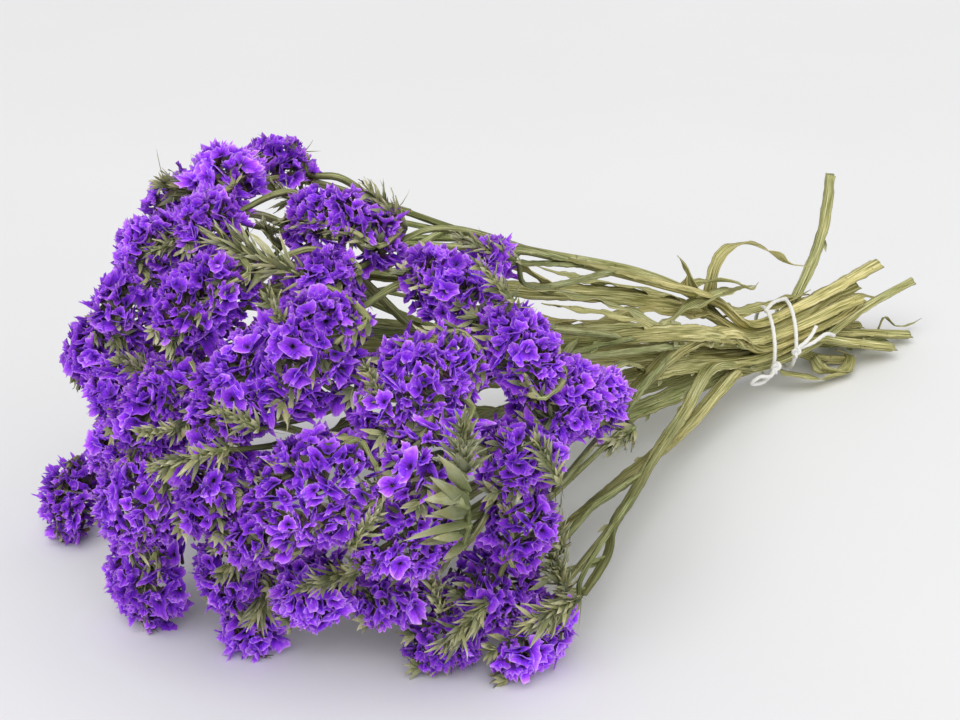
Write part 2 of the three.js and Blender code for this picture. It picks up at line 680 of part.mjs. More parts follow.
function turnRound({ at, slant }) {
  const rings = [];
  for (let i = 0; i < TIE_STEPS; i += 1) {
    const turn = (i * 2 * Math.PI) / TIE_STEPS;
    const out = new THREE.Vector3(0, Math.cos(turn), Math.sin(turn));
    const middle = new THREE.Vector3(
      at + slant * out.y, TIE_HALF_WIDTH * out.y, TIE_HEIGHT + TIE_HALF_HEIGHT * out.z);
    const ring = [];
    for (let j = 0; j < STRING_SIDES; j += 1) {
      const round = (j * 2 * Math.PI) / STRING_SIDES;
      ring.push(middle.clone().addScaledVector(out, STRING_RADIUS * Math.cos(round))
        .add(new THREE.Vector3(-STRING_RADIUS * Math.sin(round), 0, 0)));
    }
    rings.push(ring);
  }
  const positions = [];
  const corners = [];
  for (const ring of rings) for (const point of ring) positions.push(...point.toArray());
  for (let i = 0; i < TIE_STEPS; i += 1) {
    const next = (i + 1) % TIE_STEPS;
    for (let j = 0; j < STRING_SIDES; j += 1) {
      const k = (j + 1) % STRING_SIDES;
      const [a, b] = [i * STRING_SIDES + j, i * STRING_SIDES + k];
      const [c, d] = [next * STRING_SIDES + k, next * STRING_SIDES + j];
      corners.push(a, b, c, a, c, d);
    }
  }
  const geometry = new THREE.BufferGeometry();
  geometry.setAttribute('position', new THREE.Float32BufferAttribute(positions, 3));
  geometry.setIndex(corners);
  return solid(geometry);
}

function tieString(room) {
  const bodies = TURNS.map(turnRound);
  for (const route of STRING_ROUTES) bodies.push(cord(route));
  for (const knot of KNOTS) {
    const ball = new THREE.SphereGeometry(1, 5, 3);
    ball.scale(...knot.size).translate(...knot.at);
    bodies.push(solid(ball));
  }
  return Manifold.union(bodies).subtract(room);
}

// ---- The bunch ----

const bunch = new THREE.Group();

function addMesh(name, body, colour, roughness) {
  const mesh = body.getMesh();
  const geometry = new THREE.BufferGeometry();
  geometry.setAttribute('position', new THREE.Float32BufferAttribute(mesh.vertProperties, 3));
  geometry.setIndex(Array.from(mesh.triVerts));
  geometry.computeVertexNormals();
  const material = new THREE.MeshStandardMaterial({ color: colour, roughness, metalness: 0 });
  const node = new THREE.Mesh(geometry, material);
  node.name = name;
  bunch.add(node);
}

const aboveGround = (body) => body.trimByPlane(UP.toArray(), 0);

// Each stem with its spikes in their own axes, its body and the room that it takes up.
const grown = STEMS.map((stem) => {
  const fork = vector(stem.reach[stem.reach.length - 1]);
  const spikes = stem.spikes.map((spike) => spikeAxes(spike, fork));
  return {
    name: stem.name,
    spikes,
    straps: Manifold.union(stemParts(stem, spikes)),
    room: Manifold.union(stemParts(stem, spikes, GAP)),
  };
});
const allSpikes = grown.flatMap((stem) => stem.spikes);
const allRoom = Manifold.union(grown.map((stem) => stem.room));

for (const [i, stem] of grown.entries()) {
  const others = grown.filter((other) => other !== stem).map((other) => other.room);
  const earlier = grown.slice(0, i).map((other) => other.room);
  const parts = [i > 0 ? stem.straps.subtract(Manifold.union(earlier)) : stem.straps];
  const taken = Manifold.union(others);
  for (const spike of stem.spikes) {
    parts.push(keepRoom(bracts(spike), spike, allSpikes).subtract(taken));
  }
  addMesh(stem.name, largest(aboveGround(Manifold.union(parts))), STEM_COLOUR, 0.8);
}

for (const spike of allSpikes) {
  const body = keepRoom(flowers(spike), spike, allSpikes).subtract(allRoom);
  const name = `head_${String(spike.head).padStart(2, '0')}`;
  addMesh(name, largest(aboveGround(body)), FLOWER_COLOUR, 0.7);
}

addMesh('tie_string', largest(aboveGround(tieString(allRoom))), STRING_COLOUR, 0.9);

// The origin is the middle of the bottom of the bunch's box.
const box = new THREE.Box3().setFromObject(bunch);
const middle = box.getCenter(new THREE.Vector3());
for (const mesh of bunch.children) mesh.geometry.translate(-middle.x, -middle.y, -box.min.z);

export default bunch;
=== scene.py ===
"""A tied bunch of dried statice, lying down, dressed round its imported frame.

Each CAD node is replaced by one finer piece: a stem with its wings, twigs, leaves and
bracts, a head with its papery calyces, or the twisted string. The layout below repeats the
CAD's own, in millimetres from the point on the ground under the string: -X runs to the
flowers. Everything is turned into metres in the row frame when its mesh is made.
"""
import math

import bpy
import numpy as np
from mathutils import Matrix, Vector


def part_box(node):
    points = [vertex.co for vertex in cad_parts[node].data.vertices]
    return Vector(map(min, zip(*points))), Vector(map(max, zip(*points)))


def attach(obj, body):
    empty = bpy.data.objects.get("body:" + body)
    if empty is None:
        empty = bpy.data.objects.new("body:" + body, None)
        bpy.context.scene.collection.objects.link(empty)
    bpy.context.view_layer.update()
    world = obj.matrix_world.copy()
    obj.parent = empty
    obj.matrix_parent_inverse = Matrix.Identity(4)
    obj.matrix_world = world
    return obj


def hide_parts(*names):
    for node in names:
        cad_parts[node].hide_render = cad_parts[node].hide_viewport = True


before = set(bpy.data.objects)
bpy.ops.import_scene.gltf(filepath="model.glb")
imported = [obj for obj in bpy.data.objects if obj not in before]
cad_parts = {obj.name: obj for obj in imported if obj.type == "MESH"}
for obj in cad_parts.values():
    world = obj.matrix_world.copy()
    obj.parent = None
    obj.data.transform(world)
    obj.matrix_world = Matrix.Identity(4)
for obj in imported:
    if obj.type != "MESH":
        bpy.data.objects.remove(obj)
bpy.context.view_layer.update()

MM = 0.001
FULL_TURN = 2.0 * math.pi
SEED = 20240611  # of the stems, with each one's number
PLACE_SEED = SEED + 100  # of where a head's calyces open
HEAD_SEED = SEED + 200  # and of their shapes
STRING_SEED = SEED + 500

# The frame: the string's turns reach this far towards +Y, and its longer end towards +X
STRING_SIDE = 15.6
STRING_REACH = 15.362
string_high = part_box("tie_string")[1]
SHIFT = np.array([string_high.x / MM - STRING_REACH, string_high.y / MM - STRING_SIDE, 0.0])

# The lowest points of a piece and of its papery blades, above the ground
LOWEST, LOWEST_BLADE = 0.1, 0.25

# Camera, in degrees and in the layout's millimetres
CAMERA_AZIMUTH = -40.0
CAMERA_ELEVATION = 25.0
CAMERA_WIDE = 28.0
CAMERA_TARGET = (-183.75, 13.45, 60.0)
CAMERA_DISTANCE = 820.0

# Where the stems lie side by side under the string
TIE_FROM = 6.0
TIE_TO = -28.0

# The room of a spike of flowers, and the way that it faces
HEART = np.array([-262.0, -6.0, 46.0])
FACING_REACH = np.array([110.0, 115.0, 105.0])
LOWEST_FACING = 0.12
FACE_DROP = 0.45  # share of its height that lies below its middle
LEAST_BEHIND = 0.3  # how much a twig still comes from behind a spike that lies across its way
NEIGHBOUR_REACH = 12.0  # spikes whose ends are further apart than this don't meet

# Its rachises
ROW_GAP = 17.0  # width of the spike for each
ROW_SHARE = 0.8  # of the spike's length that they run through
ROW_SPREAD = 0.9  # from the first to the last, by half the spike's width
ROW_DEPTH = 8.0  # from the top of the dome down to them
ROW_SWAY, ROW_TURN, ROW_PHASE = 1.6, 1.7, 2.0  # how far each winds, how fast, and from where
SECTION_STEP = 5.4  # length of the spike for each pair of bracts

# Where its calyces open
DARTS = 3400  # places that are tried, over the dome
LOWEST_DART = -0.25  # how far down its sides, by its height
LUMP = 0.09  # how far the dome swells and sinks
LUMP_LENGTH = 3.0
CUP_DEPTHS = (0.84, 0.98)  # how near the dome they open, as shares of its size
LOWEST_RIM = 1.5
RIM_GAP = 4.9  # between calyces, at full size
TILT = 0.5  # spread of the random part of the way that a calyx opens
MOST_TILT = 1.6  # its limit, times that
OUTWARD, UPWARD = 1.25, 0.3  # how much the ways out of the dome and of its face count in it

# Calyces: radius and height of the rings of a funnel
CUP_RINGS = np.array([(0.9, 0.0), (1.0, 6.1), (3.7, 7.3), (5.7, 8.5)])
CUP_TALL = CUP_RINGS[-1, 1]
CUP_SIDES = 20
CUP_SIZE = 0.68
CUP_SIZES = (0.78, 1.22)  # shares of that size
CUP_LOBES = 5
CUP_TONES = (0.47, 0.22, 0.1, 0.3)  # middle, spreads in and between heads, and the gain of painted light and shade: a calyx is lighter the more it faces the way its head faces, darker turned away

# Leaves under the broad green spike: share along it, how far each falls back, and length
LEAFY = ((-0.16, 0.5, 11.0), (-0.08, 0.3, 16.0), (-0.02, 0.3, 21.0), (0.02, 0.1, 24.0),
         (0.06, 0.0, 22.0), (0.1, -0.1, 25.0), (0.14, -0.2, 22.0), (0.18, -0.3, 24.0),
         (0.23, -0.5, 21.0), (0.28, -0.4, 19.0), (0.33, -0.7, 20.0), (0.38, -0.9, 17.0),
         (0.44, -0.7, 15.0), (0.5, -1.2, 14.0), (0.1, -1.4, 13.0), (0.4, -1.7, 12.0),
         (-0.1, -1.7, 9.0))

# Each stem as in the CAD, in the order of its number: place under the string, twist, width,
# tail and reach. A leaf has its width and route, and the dark ones lie deep in the bunch, darkened
# with painted shade. A tuft, a spike that turns its bracts outward, has its root, tip and width,
# and one is leafy.
# A spike of flowers has its middle and size, and where it matters the way it runs, how large
# its calyces are and how much paler, partly their own lighter colour and partly a painted
# highlight where the light falls on the head. The heads are numbered through in this order.
STEMS = [
    dict(slot=(8, 31.7), twist=20, width=6.6, tail=[(27, 4, 98), (26, 4, 84), (23, 4, 66), (15, 5, 47)],
         reach=[(-58, 9, 57), (-89, 14, 75), (-165, 22, 106), (-225, 34, 137)],
         leaves=[(7, [(-50, 8, 52), (-50, 5, 66), (-44, 6, 74), (-29, 6, 76), (-14, 3, 69), (-3, 0, 61),
                     (11, -3, 57)]),
                 (7, [(-66, 9, 61), (-73, 0, 67), (-77, -4, 76)]),
                 (6, [(-68, 8, 64), (-60, -3, 68), (-49, -7, 66), (-38, -8, 60), (-31, -6, 61)])],
         tufts=[((-260, 29, 145), (-278, 42, 156), 14), ((-251, 43, 150), (-254, 44, 163), 8),
                ((-302, 26, 159), (-320, 36, 165), 14), ((-293, -2, 144), (-299, 0, 154), 9)],
         spikes=[dict(at=(-259, 52, 157), size=(32, 22, 16), run=(-3, 12, 16)),
                 dict(at=(-310, 44, 156), size=(28, 22, 15)),
                 dict(at=(-301, 24, 169), size=(38, 30, 18), run=(0, 10, 17), cup=0.9, pale=0.5)]),
    dict(slot=(0, 31.7), twist=50, tail=[(50, 2, 35), (28, 1, 34)],
         reach=[(-60, 2, 52), (-100, 4, 69), (-180, 5, 95), (-255, 5, 122)],
         leaves=[(9, [(-140, 6, 82), (-172, 13, 104), (-205, 14, 115)]),
                 (8, [(-50, 3, 48), (-82, 6, 66), (-114, 7, 79), (-143, 9, 91), (-160, 12, 99)]),
                 (9, [(-56, 0, 50), (-100, -1, 66), (-127, -1, 67.5), (-159, -2, 78), (-180, -4, 88)]),
                 (7, [(-60, 0, 53), (-66, 1, 66), (-74, 1, 80), (-78, 2, 84)]),
                 (7, [(-44, 5, 43), (-30, 6, 40), (-12, 5, 38.6), (4, 4, 38.8), (18, 3, 41)])],
         tufts=[((-312, -42, 151), (-335, -24, 164), 20), ((-328, 1, 157), (-344, 3, 154), 11)],
         spikes=[dict(at=(-337, 18, 151), size=(34, 30, 18)),
                 dict(at=(-329, -8, 167), size=(28, 22, 14))]),
    dict(slot=(0, 36.5), twist=0, tail=[(60, -3, 46), (30, -1, 40)],
         reach=[(-58, -4, 59), (-100, -8, 80), (-190, -17, 122)],
         leaves=[(9, [(-76, -5, 67), (-50, 4, 51), (-28, 6, 40.2), (4, 6, 39.6), (22, 7, 36)])],
         tufts=[((-262, -37, 155), (-272, -29, 169), 13), ((-232, -65, 142), (-249, -54, 152), 12)],
         spikes=[dict(at=(-278, -21, 158), size=(50, 32, 20), run=(-8, 14, 12), cup=0.8, pale=0.3),
                 dict(at=(-305, -44, 149), size=(30, 26, 16), run=(-12, 1, -16)),
                 dict(at=(-238, -58, 144), size=(30, 18, 12))]),
    dict(slot=(8, 26.9), twist=30, tail=[(62, 17, 14), (35, 12, 22)],
         reach=[(-100, 12, 50), (-200, 8, 80), (-270, 5, 100)],
         tufts=[((-354, 6, 127), (-364, 9, 132), 10), ((-358, -16, 118), (-369, -12, 125), 10)],
         spikes=[dict(at=(-357, 7, 137), size=(30, 26, 16)),
                 dict(at=(-363, 18, 118), size=(30, 26, 16)),
                 dict(at=(-365, -1, 111), size=(32, 26, 16)),
                 dict(at=(-330, 29, 99), size=(38, 30, 18))]),
    dict(slot=(0, 26.9), twist=60, tail=[(60, 5, 23), (32, 2, 26)],
         reach=[(-100, -14, 58), (-185, -26, 86), (-255, -35, 108)],
         leaves=[(10, [(-90, -12, 55), (-135, -8, 82), (-190, -10, 104)]),
                 (8, [(-107, -15, 60), (-81, -10, 63), (-54, -6, 62), (-29, -3, 58)]),
                 (8, [(16, 2, 27), (48, 8, 23), (67, 9, 22), (81, 9, 17)])],
         dark=[(13, [(-208, -29, 93), (-262, -28, 105), (-300, -24, 112), (-335, -22, 118)])],
         tufts=[((-336, -66, 149), (-341, -65, 158), 10)],
         spikes=[dict(at=(-346, -29, 149), size=(44, 27, 18), run=(-14, 3, -14)),
                 dict(at=(-329, -68, 139), size=(50, 40, 21))]),
    dict(slot=(0, 22.1), twist=60, tail=[(80, -11, 4), (40, -4, 14)],
         reach=[(-100, -5, 44), (-190, -16, 69), (-270, -25, 88)],
         leaves=[(2, [(62, -6, 9), (69, -4, 14), (78, -4, 7), (91, -4, 4), (100, -4, 5)])],
         dark=[(13, [(-186, -15, 67), (-235, -20, 70), (-275, -22, 73), (-315, -24, 79)])],
         tufts=[((-353, -73, 117), (-364, -67, 125), 10), ((-367, -46, 110), (-380, -43, 112), 9)],
         spikes=[dict(at=(-350, -57, 126), size=(50, 32, 18)),
                 dict(at=(-368, -30, 114), size=(46, 28, 18))]),
    dict(slot=(-8, 31.7), twist=45, tail=[(38, -12, 36), (22, -9, 34)],
         reach=[(-100, -31, 64), (-200, -50, 95)],
         leaves=[(9, [(-115, -34, 68), (-150, -34, 88), (-190, -32, 103)])],
         tufts=[((-264, -99, 147), (-273, -92, 161), 10), ((-317, -95, 125), (-322, -92, 137), 8)],
         spikes=[dict(at=(-300, -95, 127), size=(54, 36, 19)),
                 dict(at=(-267, -74, 146), size=(42, 28, 18), run=(-8, 14, 12)),
                 dict(at=(-260, -101, 130), size=(44, 30, 17), run=(-6, 13, 14))]),
    dict(slot=(-8, 22.1), twist=50, tail=[(58, -18, 6), (30, -13, 15)],
         reach=[(-100, -25, 46), (-170, -42, 63), (-235, -60, 80)],
         leaves=[(9, [(-125, -32, 52), (-155, -46, 72), (-185, -58, 80)])],
         dark=[(12, [(-184, -46, 66), (-230, -48, 75), (-268, -46, 82), (-305, -44, 87)])],
         leafy=[((-310, -131, 89), (-306, -123, 124), 24)],
         spikes=[dict(at=(-343, -88, 95), size=(54, 42, 20)),
                 dict(at=(-307, -109, 109), size=(46, 28, 18), run=(-12, 1, -16), cup=0.86, pale=0.5)]),
    dict(slot=(-8, 26.9), twist=40, tail=[(44, -5, 31), (24, -8, 28)],
         reach=[(-62, -19, 49), (-105, -30, 59), (-148, -48, 60), (-172, -60, 64)],
         leaves=[(7, [(-63, -18, 47), (-57, -19, 40), (-44, -18, 35)])],
         tufts=[((-265, -126, 88), (-271, -120, 104), 12), ((-205, -101, 79), (-217, -101, 75), 12),
                ((-244, -100, 123), (-255, -99, 125), 10)],
         spikes=[dict(at=(-242, -105, 107), size=(42, 34, 17), pale=0.1),
                 dict(at=(-208, -90, 90), size=(28, 26, 15), cup=0.8, pale=0.25),
                 dict(at=(-267, -112, 92), size=(36, 30, 17))]),
    dict(slot=(0, 17.3), twist=30, tail=[(70, -3, 1.9), (35, -1, 9)],
         reach=[(-100, -21, 30), (-170, -36, 41), (-235, -50, 52)],
         tufts=[((-318, -79, 51), (-337, -73, 49), 13), ((-336, -101, 78), (-330, -108, 91), 10),
                ((-296, -98, 35), (-299, -96, 49), 10)],
         spikes=[dict(at=(-317, -106, 76), size=(40, 34, 19)),
                 dict(at=(-304, -83, 37), size=(34, 26, 16)),
                 dict(at=(-356, -73, 78), size=(38, 26, 17)),
                 dict(at=(-328, -64, 37), size=(34, 28, 16), cup=0.8, pale=0.35)]),
    dict(slot=(-8, 17.3), twist=30, width=6.2, tail=[(88, -4, 29), (45, -8, 27)],
         reach=[(-80, -24, 38), (-113, -41, 34), (-150, -60, 33), (-183, -78, 30), (-200, -87, 29),
                (-211, -96, 25), (-235, -108, 22)],
         tufts=[((-250, -114, 32), (-257, -112, 53), 16), ((-255, -126, 37), (-273, -122, 32), 16),
                ((-282, -106, 35), (-300, -105, 25), 15)],
         spikes=[dict(at=(-261, -112, 15), size=(42, 26, 16), cup=0.8, pale=0.35),
                 dict(at=(-286, -92, 15), size=(32, 28, 17))]),
    dict(slot=(8, 17.3), twist=20, tail=[(50, 12, 1.9), (25, 10, 10)],
         reach=[(-100, 0, 26), (-190, -6, 40), (-270, -12, 55)],
         tufts=[((-329, -41, 40), (-342, -48, 24), 16), ((-363, -68, 110), (-386, -59, 107), 11),
                ((-338, -46, 56), (-354, -46, 48), 12)],
         spikes=[dict(at=(-380, -31, 81), size=(40, 34, 18)),
                 dict(at=(-357, 12, 23), size=(46, 38, 18)),
                 dict(at=(-347, -35, 40), size=(32, 28, 16)),
                 dict(at=(-337, -32, 16.8), size=(38, 26, 16), cup=0.8, pale=0.4),
                 dict(at=(-366, -59, 96), size=(42, 26, 16)),
                 dict(at=(-372, -11, 92), size=(32, 26, 16))]),
    dict(slot=(0, 12.5), twist=30, width=6.6, tail=[(36, -8, 1.9), (18, -4, 7)],
         reach=[(-58, -18, 26), (-98, -33, 23), (-132, -47, 25), (-175, -64, 30), (-216, -82, 36),
                (-229, -88, 38)],
         leaves=[(7, [(13, -5, 9), (11, -14, 6), (18, -19, 4), (28, -16, 3.4), (34, -11, 6), (27, -8, 10)]),
                 (8, [(-16, -11, 11), (-4, -16, 7), (10, -19, 3.6), (24, -18, 3), (37, -12, 6)])],
         tufts=[((-251, -112, 49), (-262, -112, 72), 16)],
         spikes=[dict(at=(-271, -117, 70), size=(36, 26, 17), run=(3, 9, 18)),
                 dict(at=(-268, -100, 33), size=(40, 34, 18))]),
    dict(slot=(8, 22.1), twist=20, tail=[(66, 10, 6), (35, 10, 15)],
         reach=[(-100, 28, 36), (-170, 40, 48), (-240, 52, 60)],
         leaves=[(9, [(-115, 30, 38), (-155, 46, 54), (-195, 58, 60)])],
         tufts=[((-250, 96, 84), (-268, 98, 92), 16), ((-300, 98, 92), (-318, 92, 84), 14),
                ((-300, 104, 48), (-318, 98, 44), 14), ((-262, 70, 118), (-276, 66, 126), 14)],
         spikes=[dict(at=(-343, 94, 17), size=(36, 28, 17)),
                 dict(at=(-296, 72, 110), size=(44, 38, 20)),
                 dict(at=(-319, 65, 69), size=(46, 40, 20)),
                 dict(at=(-283, 95, 74), size=(48, 42, 20)),
                 dict(at=(-295, 90, 22), size=(46, 40, 20)),
                 dict(at=(-241, 65, 90), size=(42, 34, 18)),
                 dict(at=(-235, 85, 61), size=(48, 40, 20))]),
]

# The string, as in the CAD
STRING_RADIUS = 0.95
TURN_PLACES, TURN_SLANT = (-17, -2), 9
TIE_HALF_WIDTH = 14.6
TIE_HALF_HEIGHT = 16.6
TIE_HEIGHT = 24.5
STRING_ROUTES = [
    [(-19, -1, 41.4), (-10, 2, 42.4), (0, 3, 41.4)],
    [(-26, -15, 19), (-33, -19, 18), (-41, -19, 20), (-44, -17, 17), (-36, -17, 15),
     (-25, -15.5, 18)],
    [(-11, -14.5, 24), (-8, -17, 27), (-3, -17, 30), (1, -16, 33)],
    [(-11, -14.5, 24), (-4, -18, 26), (6, -18, 28), (15, -16, 24)],
]
KNOTS = [
    dict(at=(-25.5, -15.5, 19), size=(2.8, 2.6, 3.4)),
    dict(at=(-12, -15.8, 23), size=(2.6, 2.4, 3.2)),
]


# ---- Lines and sheets of points ----

CURVE_POINTS = 12  # of a curve, for each point of its route


def unit(vectors):
    """Vectors scaled to length one, along their last axis."""
    vectors = np.asarray(vectors, float)
    return vectors / np.maximum(np.linalg.norm(vectors, axis=-1, keepdims=True), 1e-9)


def square_to(vectors, along):
    """The part of each vector that is square to along, at length one."""
    vectors = np.asarray(vectors, float)
    return unit(vectors - (vectors * along).sum(-1, keepdims=True) * along)


def smooth(x, low, high):
    """0 up to low, 1 from high on, and a smooth rise between them."""
    share = np.clip((x - low) / (high - low), 0.0, 1.0)
    return share * share * (3.0 - 2.0 * share)


def ripple(x, phases, lengths):
    """A smooth wandering value between about -1 and 1: a few waves added up."""
    waves = [np.sin(FULL_TURN * x / length + phase) for phase, length in zip(phases, lengths)]
    return sum(waves) / len(waves)


def catmull(points, count):
    """Points along a centripetal Catmull-Rom curve through the given ones."""
    points = np.asarray(points, float)
    first = 2.0 * points[0] - points[1]
    last = 2.0 * points[-1] - points[-2]
    held = np.vstack([first, points, last])
    out = []
    for share in np.linspace(0.0, len(points) - 1.0, count):
        i = min(int(share), len(points) - 2)
        w = share - i
        p0, p1, p2, p3 = held[i:i + 4]
        d0, d1, d2 = (max(np.linalg.norm(b - a), 1e-6) ** 0.5
                      for a, b in ((p0, p1), (p1, p2), (p2, p3)))
        t1 = ((p1 - p0) / d0 - (p2 - p0) / (d0 + d1) + (p2 - p1) / d1) * d1
        t2 = ((p2 - p1) / d1 - (p3 - p1) / (d1 + d2) + (p3 - p2) / d2) * d1
        c2 = -3.0 * p1 + 3.0 * p2 - 2.0 * t1 - t2
        c3 = 2.0 * p1 - 2.0 * p2 + t1 + t2
        out.append(p1 + w * (t1 + w * (c2 + w * c3)))
    return np.array(out)


def even_line(points, step):
    """The same line with its points at even steps, and how far along each lies."""
    ways = np.concatenate([[0.0], np.cumsum(np.linalg.norm(np.diff(points, axis=0), axis=1))])
    count = max(3, int(round(ways[-1] / step)) + 1)
    along = np.linspace(0.0, ways[-1], count)
    return np.stack([np.interp(along, ways, points[:, k]) for k in range(3)], axis=1), along


def curve_line(route, step):
    """An even line along the smooth curve through a route."""
    return even_line(catmull(route, CURVE_POINTS * len(route)), step)


def tangents(line):
    return unit(np.gradient(line, axis=0))


def swept(line, x, across, y, up):
    """Sections along a line: at each of its places, points x along across and y along up."""
    return line[:, None, :] + x[..., None] * across[:, None, :] + y[..., None] * up[:, None, :]


def grid_faces(rows, columns, closed):
    """The quads of a sheet of rows by columns points; closed joins its last column to its first."""
    r = np.arange(rows - 1)[:, None]
    c = np.arange(columns if closed else columns - 1)[None, :]
    n = (c + 1) % columns
    corners = (r * columns + c, r * columns + n, (r + 1) * columns + n, (r + 1) * columns + c)
    return np.stack(corners, axis=-1).reshape(-1, 4)


def tube_faces(rows, columns):
    """The faces of a tube of rings, with its two ends closed."""
    ring = np.arange(columns)[None, :]
    return [grid_faces(rows, columns, True), ring[:, ::-1], ring + (rows - 1) * columns]


def many(faces, points_each, count):
    """The same faces for each of count parts with points_each points."""
    return (faces[None] + (np.arange(count) * points_each)[:, None, None]).reshape(-1, faces.shape[1])


class Sheaf:
    """The points, faces and values of one piece, collected part by part."""

    VALUES = ("reach", "across", "along", "tone")

    def __init__(self):
        self.points, self.faces, self.looks = [], [], []
        self.values = {name: [] for name in self.VALUES}
        self.count = 0

    def add(self, points, faces, look=0, lowest=LOWEST, **values):
        """Adds a part with the piece's material number look, and lifts what lies too low."""
        flat = points.reshape(-1, 3)
        flat[:, 2] = np.maximum(flat[:, 2], lowest)
        self.points.append(flat)
        for name in self.VALUES:
            value = np.broadcast_to(values.get(name, 0.0), points.shape[:-1])
            self.values[name].append(value.ravel())
        for some in faces:
            self.faces.append(some + self.count)
            self.looks.append(np.full(len(some), look))
        self.count += len(flat)


# ---- Spikes of flowers ----

def facing(place):
    """The way the flowers at a place face: out of the bunch, and never straight down."""
    out = unit((place - HEART) / FACING_REACH)
    out[2] = max(out[2], LOWEST_FACING)
    return unit(out)


def spike_axes(spike, head, fork):
    """A spike with its own axes: run along it, across it, and face, the way its flowers face."""
    at = np.array(spike["at"], float)
    face = facing(at)
    onward = unit(at - fork)
    way = np.array(spike.get("run", onward), float)
    run = unit(way - way.dot(face) * face)
    length, width, height = spike["size"]
    return dict(
        head=head, at=at, face=face, run=run, across=np.cross(face, run),
        length=length, width=width, height=height, radius=(length + width) / 4.0,
        foot=at - face * height * FACE_DROP,
        behind=min(1.0, LEAST_BEHIND + max(0.0, run.dot(onward))),
        # pale lightens a whole head: partly its own colour, partly a painted highlight
        cup=spike.get("cup", CUP_SIZE), pale=spike.get("pale", 0.0))


def inside_room(points, spike, spikes):
    """Which points lie in the spike's own room, given the planes to its neighbours."""
    kept = np.ones(len(points), bool)
    for other in spikes:
        apart = np.linalg.norm(other["at"] - spike["at"])
        if other is spike or apart > (spike["length"] + other["length"]) / 2 + NEIGHBOUR_REACH:
            continue
        toward = (other["at"] - spike["at"]) / apart
        share = (apart ** 2 + spike["radius"] ** 2 - other["radius"] ** 2) / (2.0 * apart)
        kept &= (points - spike["at"]) @ toward < share
    return kept


def flower_rows(spike):
    """The rachises of a spike: lines that arch along it under its flowers."""
    half = spike["length"] / 2.0
    rows = max(1, int(round(spike["width"] / ROW_GAP)))
    count = max(4, int(round(spike["length"] / SECTION_STEP)))
    x = np.linspace(-half * ROW_SHARE, half * ROW_SHARE, count)
    rise = (spike["height"] - ROW_DEPTH) * np.sqrt(1.0 - (x / half) ** 2)
    lines = []
    for k in range(rows):
        y = (k - (rows - 1) / 2.0) * spike["width"] / 2.0 / max(1, rows - 1) * ROW_SPREAD
        sway = ROW_SWAY * np.sin(x / half * ROW_TURN + k * ROW_PHASE + spike["head"])
        lines.append(spike["foot"] + x[:, None] * spike["run"]
                     + (y + sway)[:, None] * spike["across"] + rise[:, None] * spike["face"])
    return lines


def spread_out(places, gap):
    """Places taken in turn, each only if it is no nearer than the gap to those taken."""
    taken = np.zeros(len(places), bool)
    for i, place in enumerate(places):
        others = places[taken]
        taken[i] = len(others) == 0 or np.min(((others - place) ** 2).sum(1)) > gap * gap
    return taken


def dome_places(spike, rng):
    """Where a spike's calyces open, spread over its dome, and the way each of them opens."""
    half = np.array([spike["length"] / 2.0, spike["width"] / 2.0, spike["height"]])
    darts = unit(rng.normal(size=(DARTS, 3)))
    darts = darts[darts[:, 2] > LOWEST_DART]
    phases = rng.uniform(0.0, FULL_TURN, 3)
    swell = 1.0 + LUMP * np.sin(darts * half / LUMP_LENGTH + phases).mean(1)
    places = darts * half * (swell * rng.uniform(*CUP_DEPTHS, len(darts)))[:, None]
    taken = spread_out(places, RIM_GAP * spike["cup"])
    places, darts = places[taken], darts[taken]
    turned = np.clip(rng.normal(0.0, TILT, darts.shape), -MOST_TILT * TILT, MOST_TILT * TILT)
    ways = unit(OUTWARD * unit(darts / half) + np.array([0.0, 0.0, UPWARD]) + turned)
    axes = np.stack([spike["run"], spike["across"], spike["face"]])
    return spike["foot"] + places @ axes, ways @ axes


def place_calyces(spike, spikes):
    """Adds to a spike where its calyces open, which way, and how large they are."""
    rng = np.random.default_rng(PLACE_SEED + spike["head"])
    rims, axes = dome_places(spike, rng)
    kept = inside_room(rims, spike, spikes) & (rims[:, 2] > LOWEST_RIM)
    spike["rims"], spike["axes"] = rims[kept], axes[kept]
    spike["sizes"] = spike["cup"] * rng.uniform(*CUP_SIZES, kept.sum())


# ---- Calyces ----

CUP_SPREAD = 2.2  # how late up its tube a calyx starts to fold
CUP_OPEN = (0.62, 1.12)  # how wide it opens, as shares of its radius
OPENING = 1.5  # the power of that share at its rim
FOLD_SIZES = (0.4, 1.4)  # of its own folds, as shares of those below
LOBE_SHAPE = (1.3, 0.7, 0.8)  # height, roundness and depth of a lobe
LOBE_OUT, LOBE_UP = 0.16, 0.6  # how far it goes out, by the radius, and up
FOLDS = ((2, 0.12, 1.1), (3, 0.08, 0.8))  # waves round the rim, and the same
PLEAT_OUT, PLEAT_UP = 0.38, 0.8
RIM_OUT, RIM_UP = (0.3, 2), (0.45, 3)  # crumple of the rim: size, and how near it to stay
SKIN_OUT, SKIN_UP = (0.2, 1.5), (0.24, 1.2)  # and of the whole sheet
CREASES = (6, 7)  # their phases, after those of the folds
CREASE_WIDTH, CREASE_LATE = 0.22, 1.5  # and how late up the folds they start
CREASE_IN, CREASE_UP = 0.5, 0.9
SQUEEZES = (0.1, 0.88)  # how far a calyx is pressed flat
WIDENS = 0.45  # how much wider that makes it
CUP_BEND = 0.025
UPRIGHT = 0.9  # a calyx that rises less than this is turned from the vertical


def crumple(share, shape, amount, rng):
    """Random dents that grow with a share."""
    size, power = amount
    return rng.normal(0.0, size, shape) * share ** power


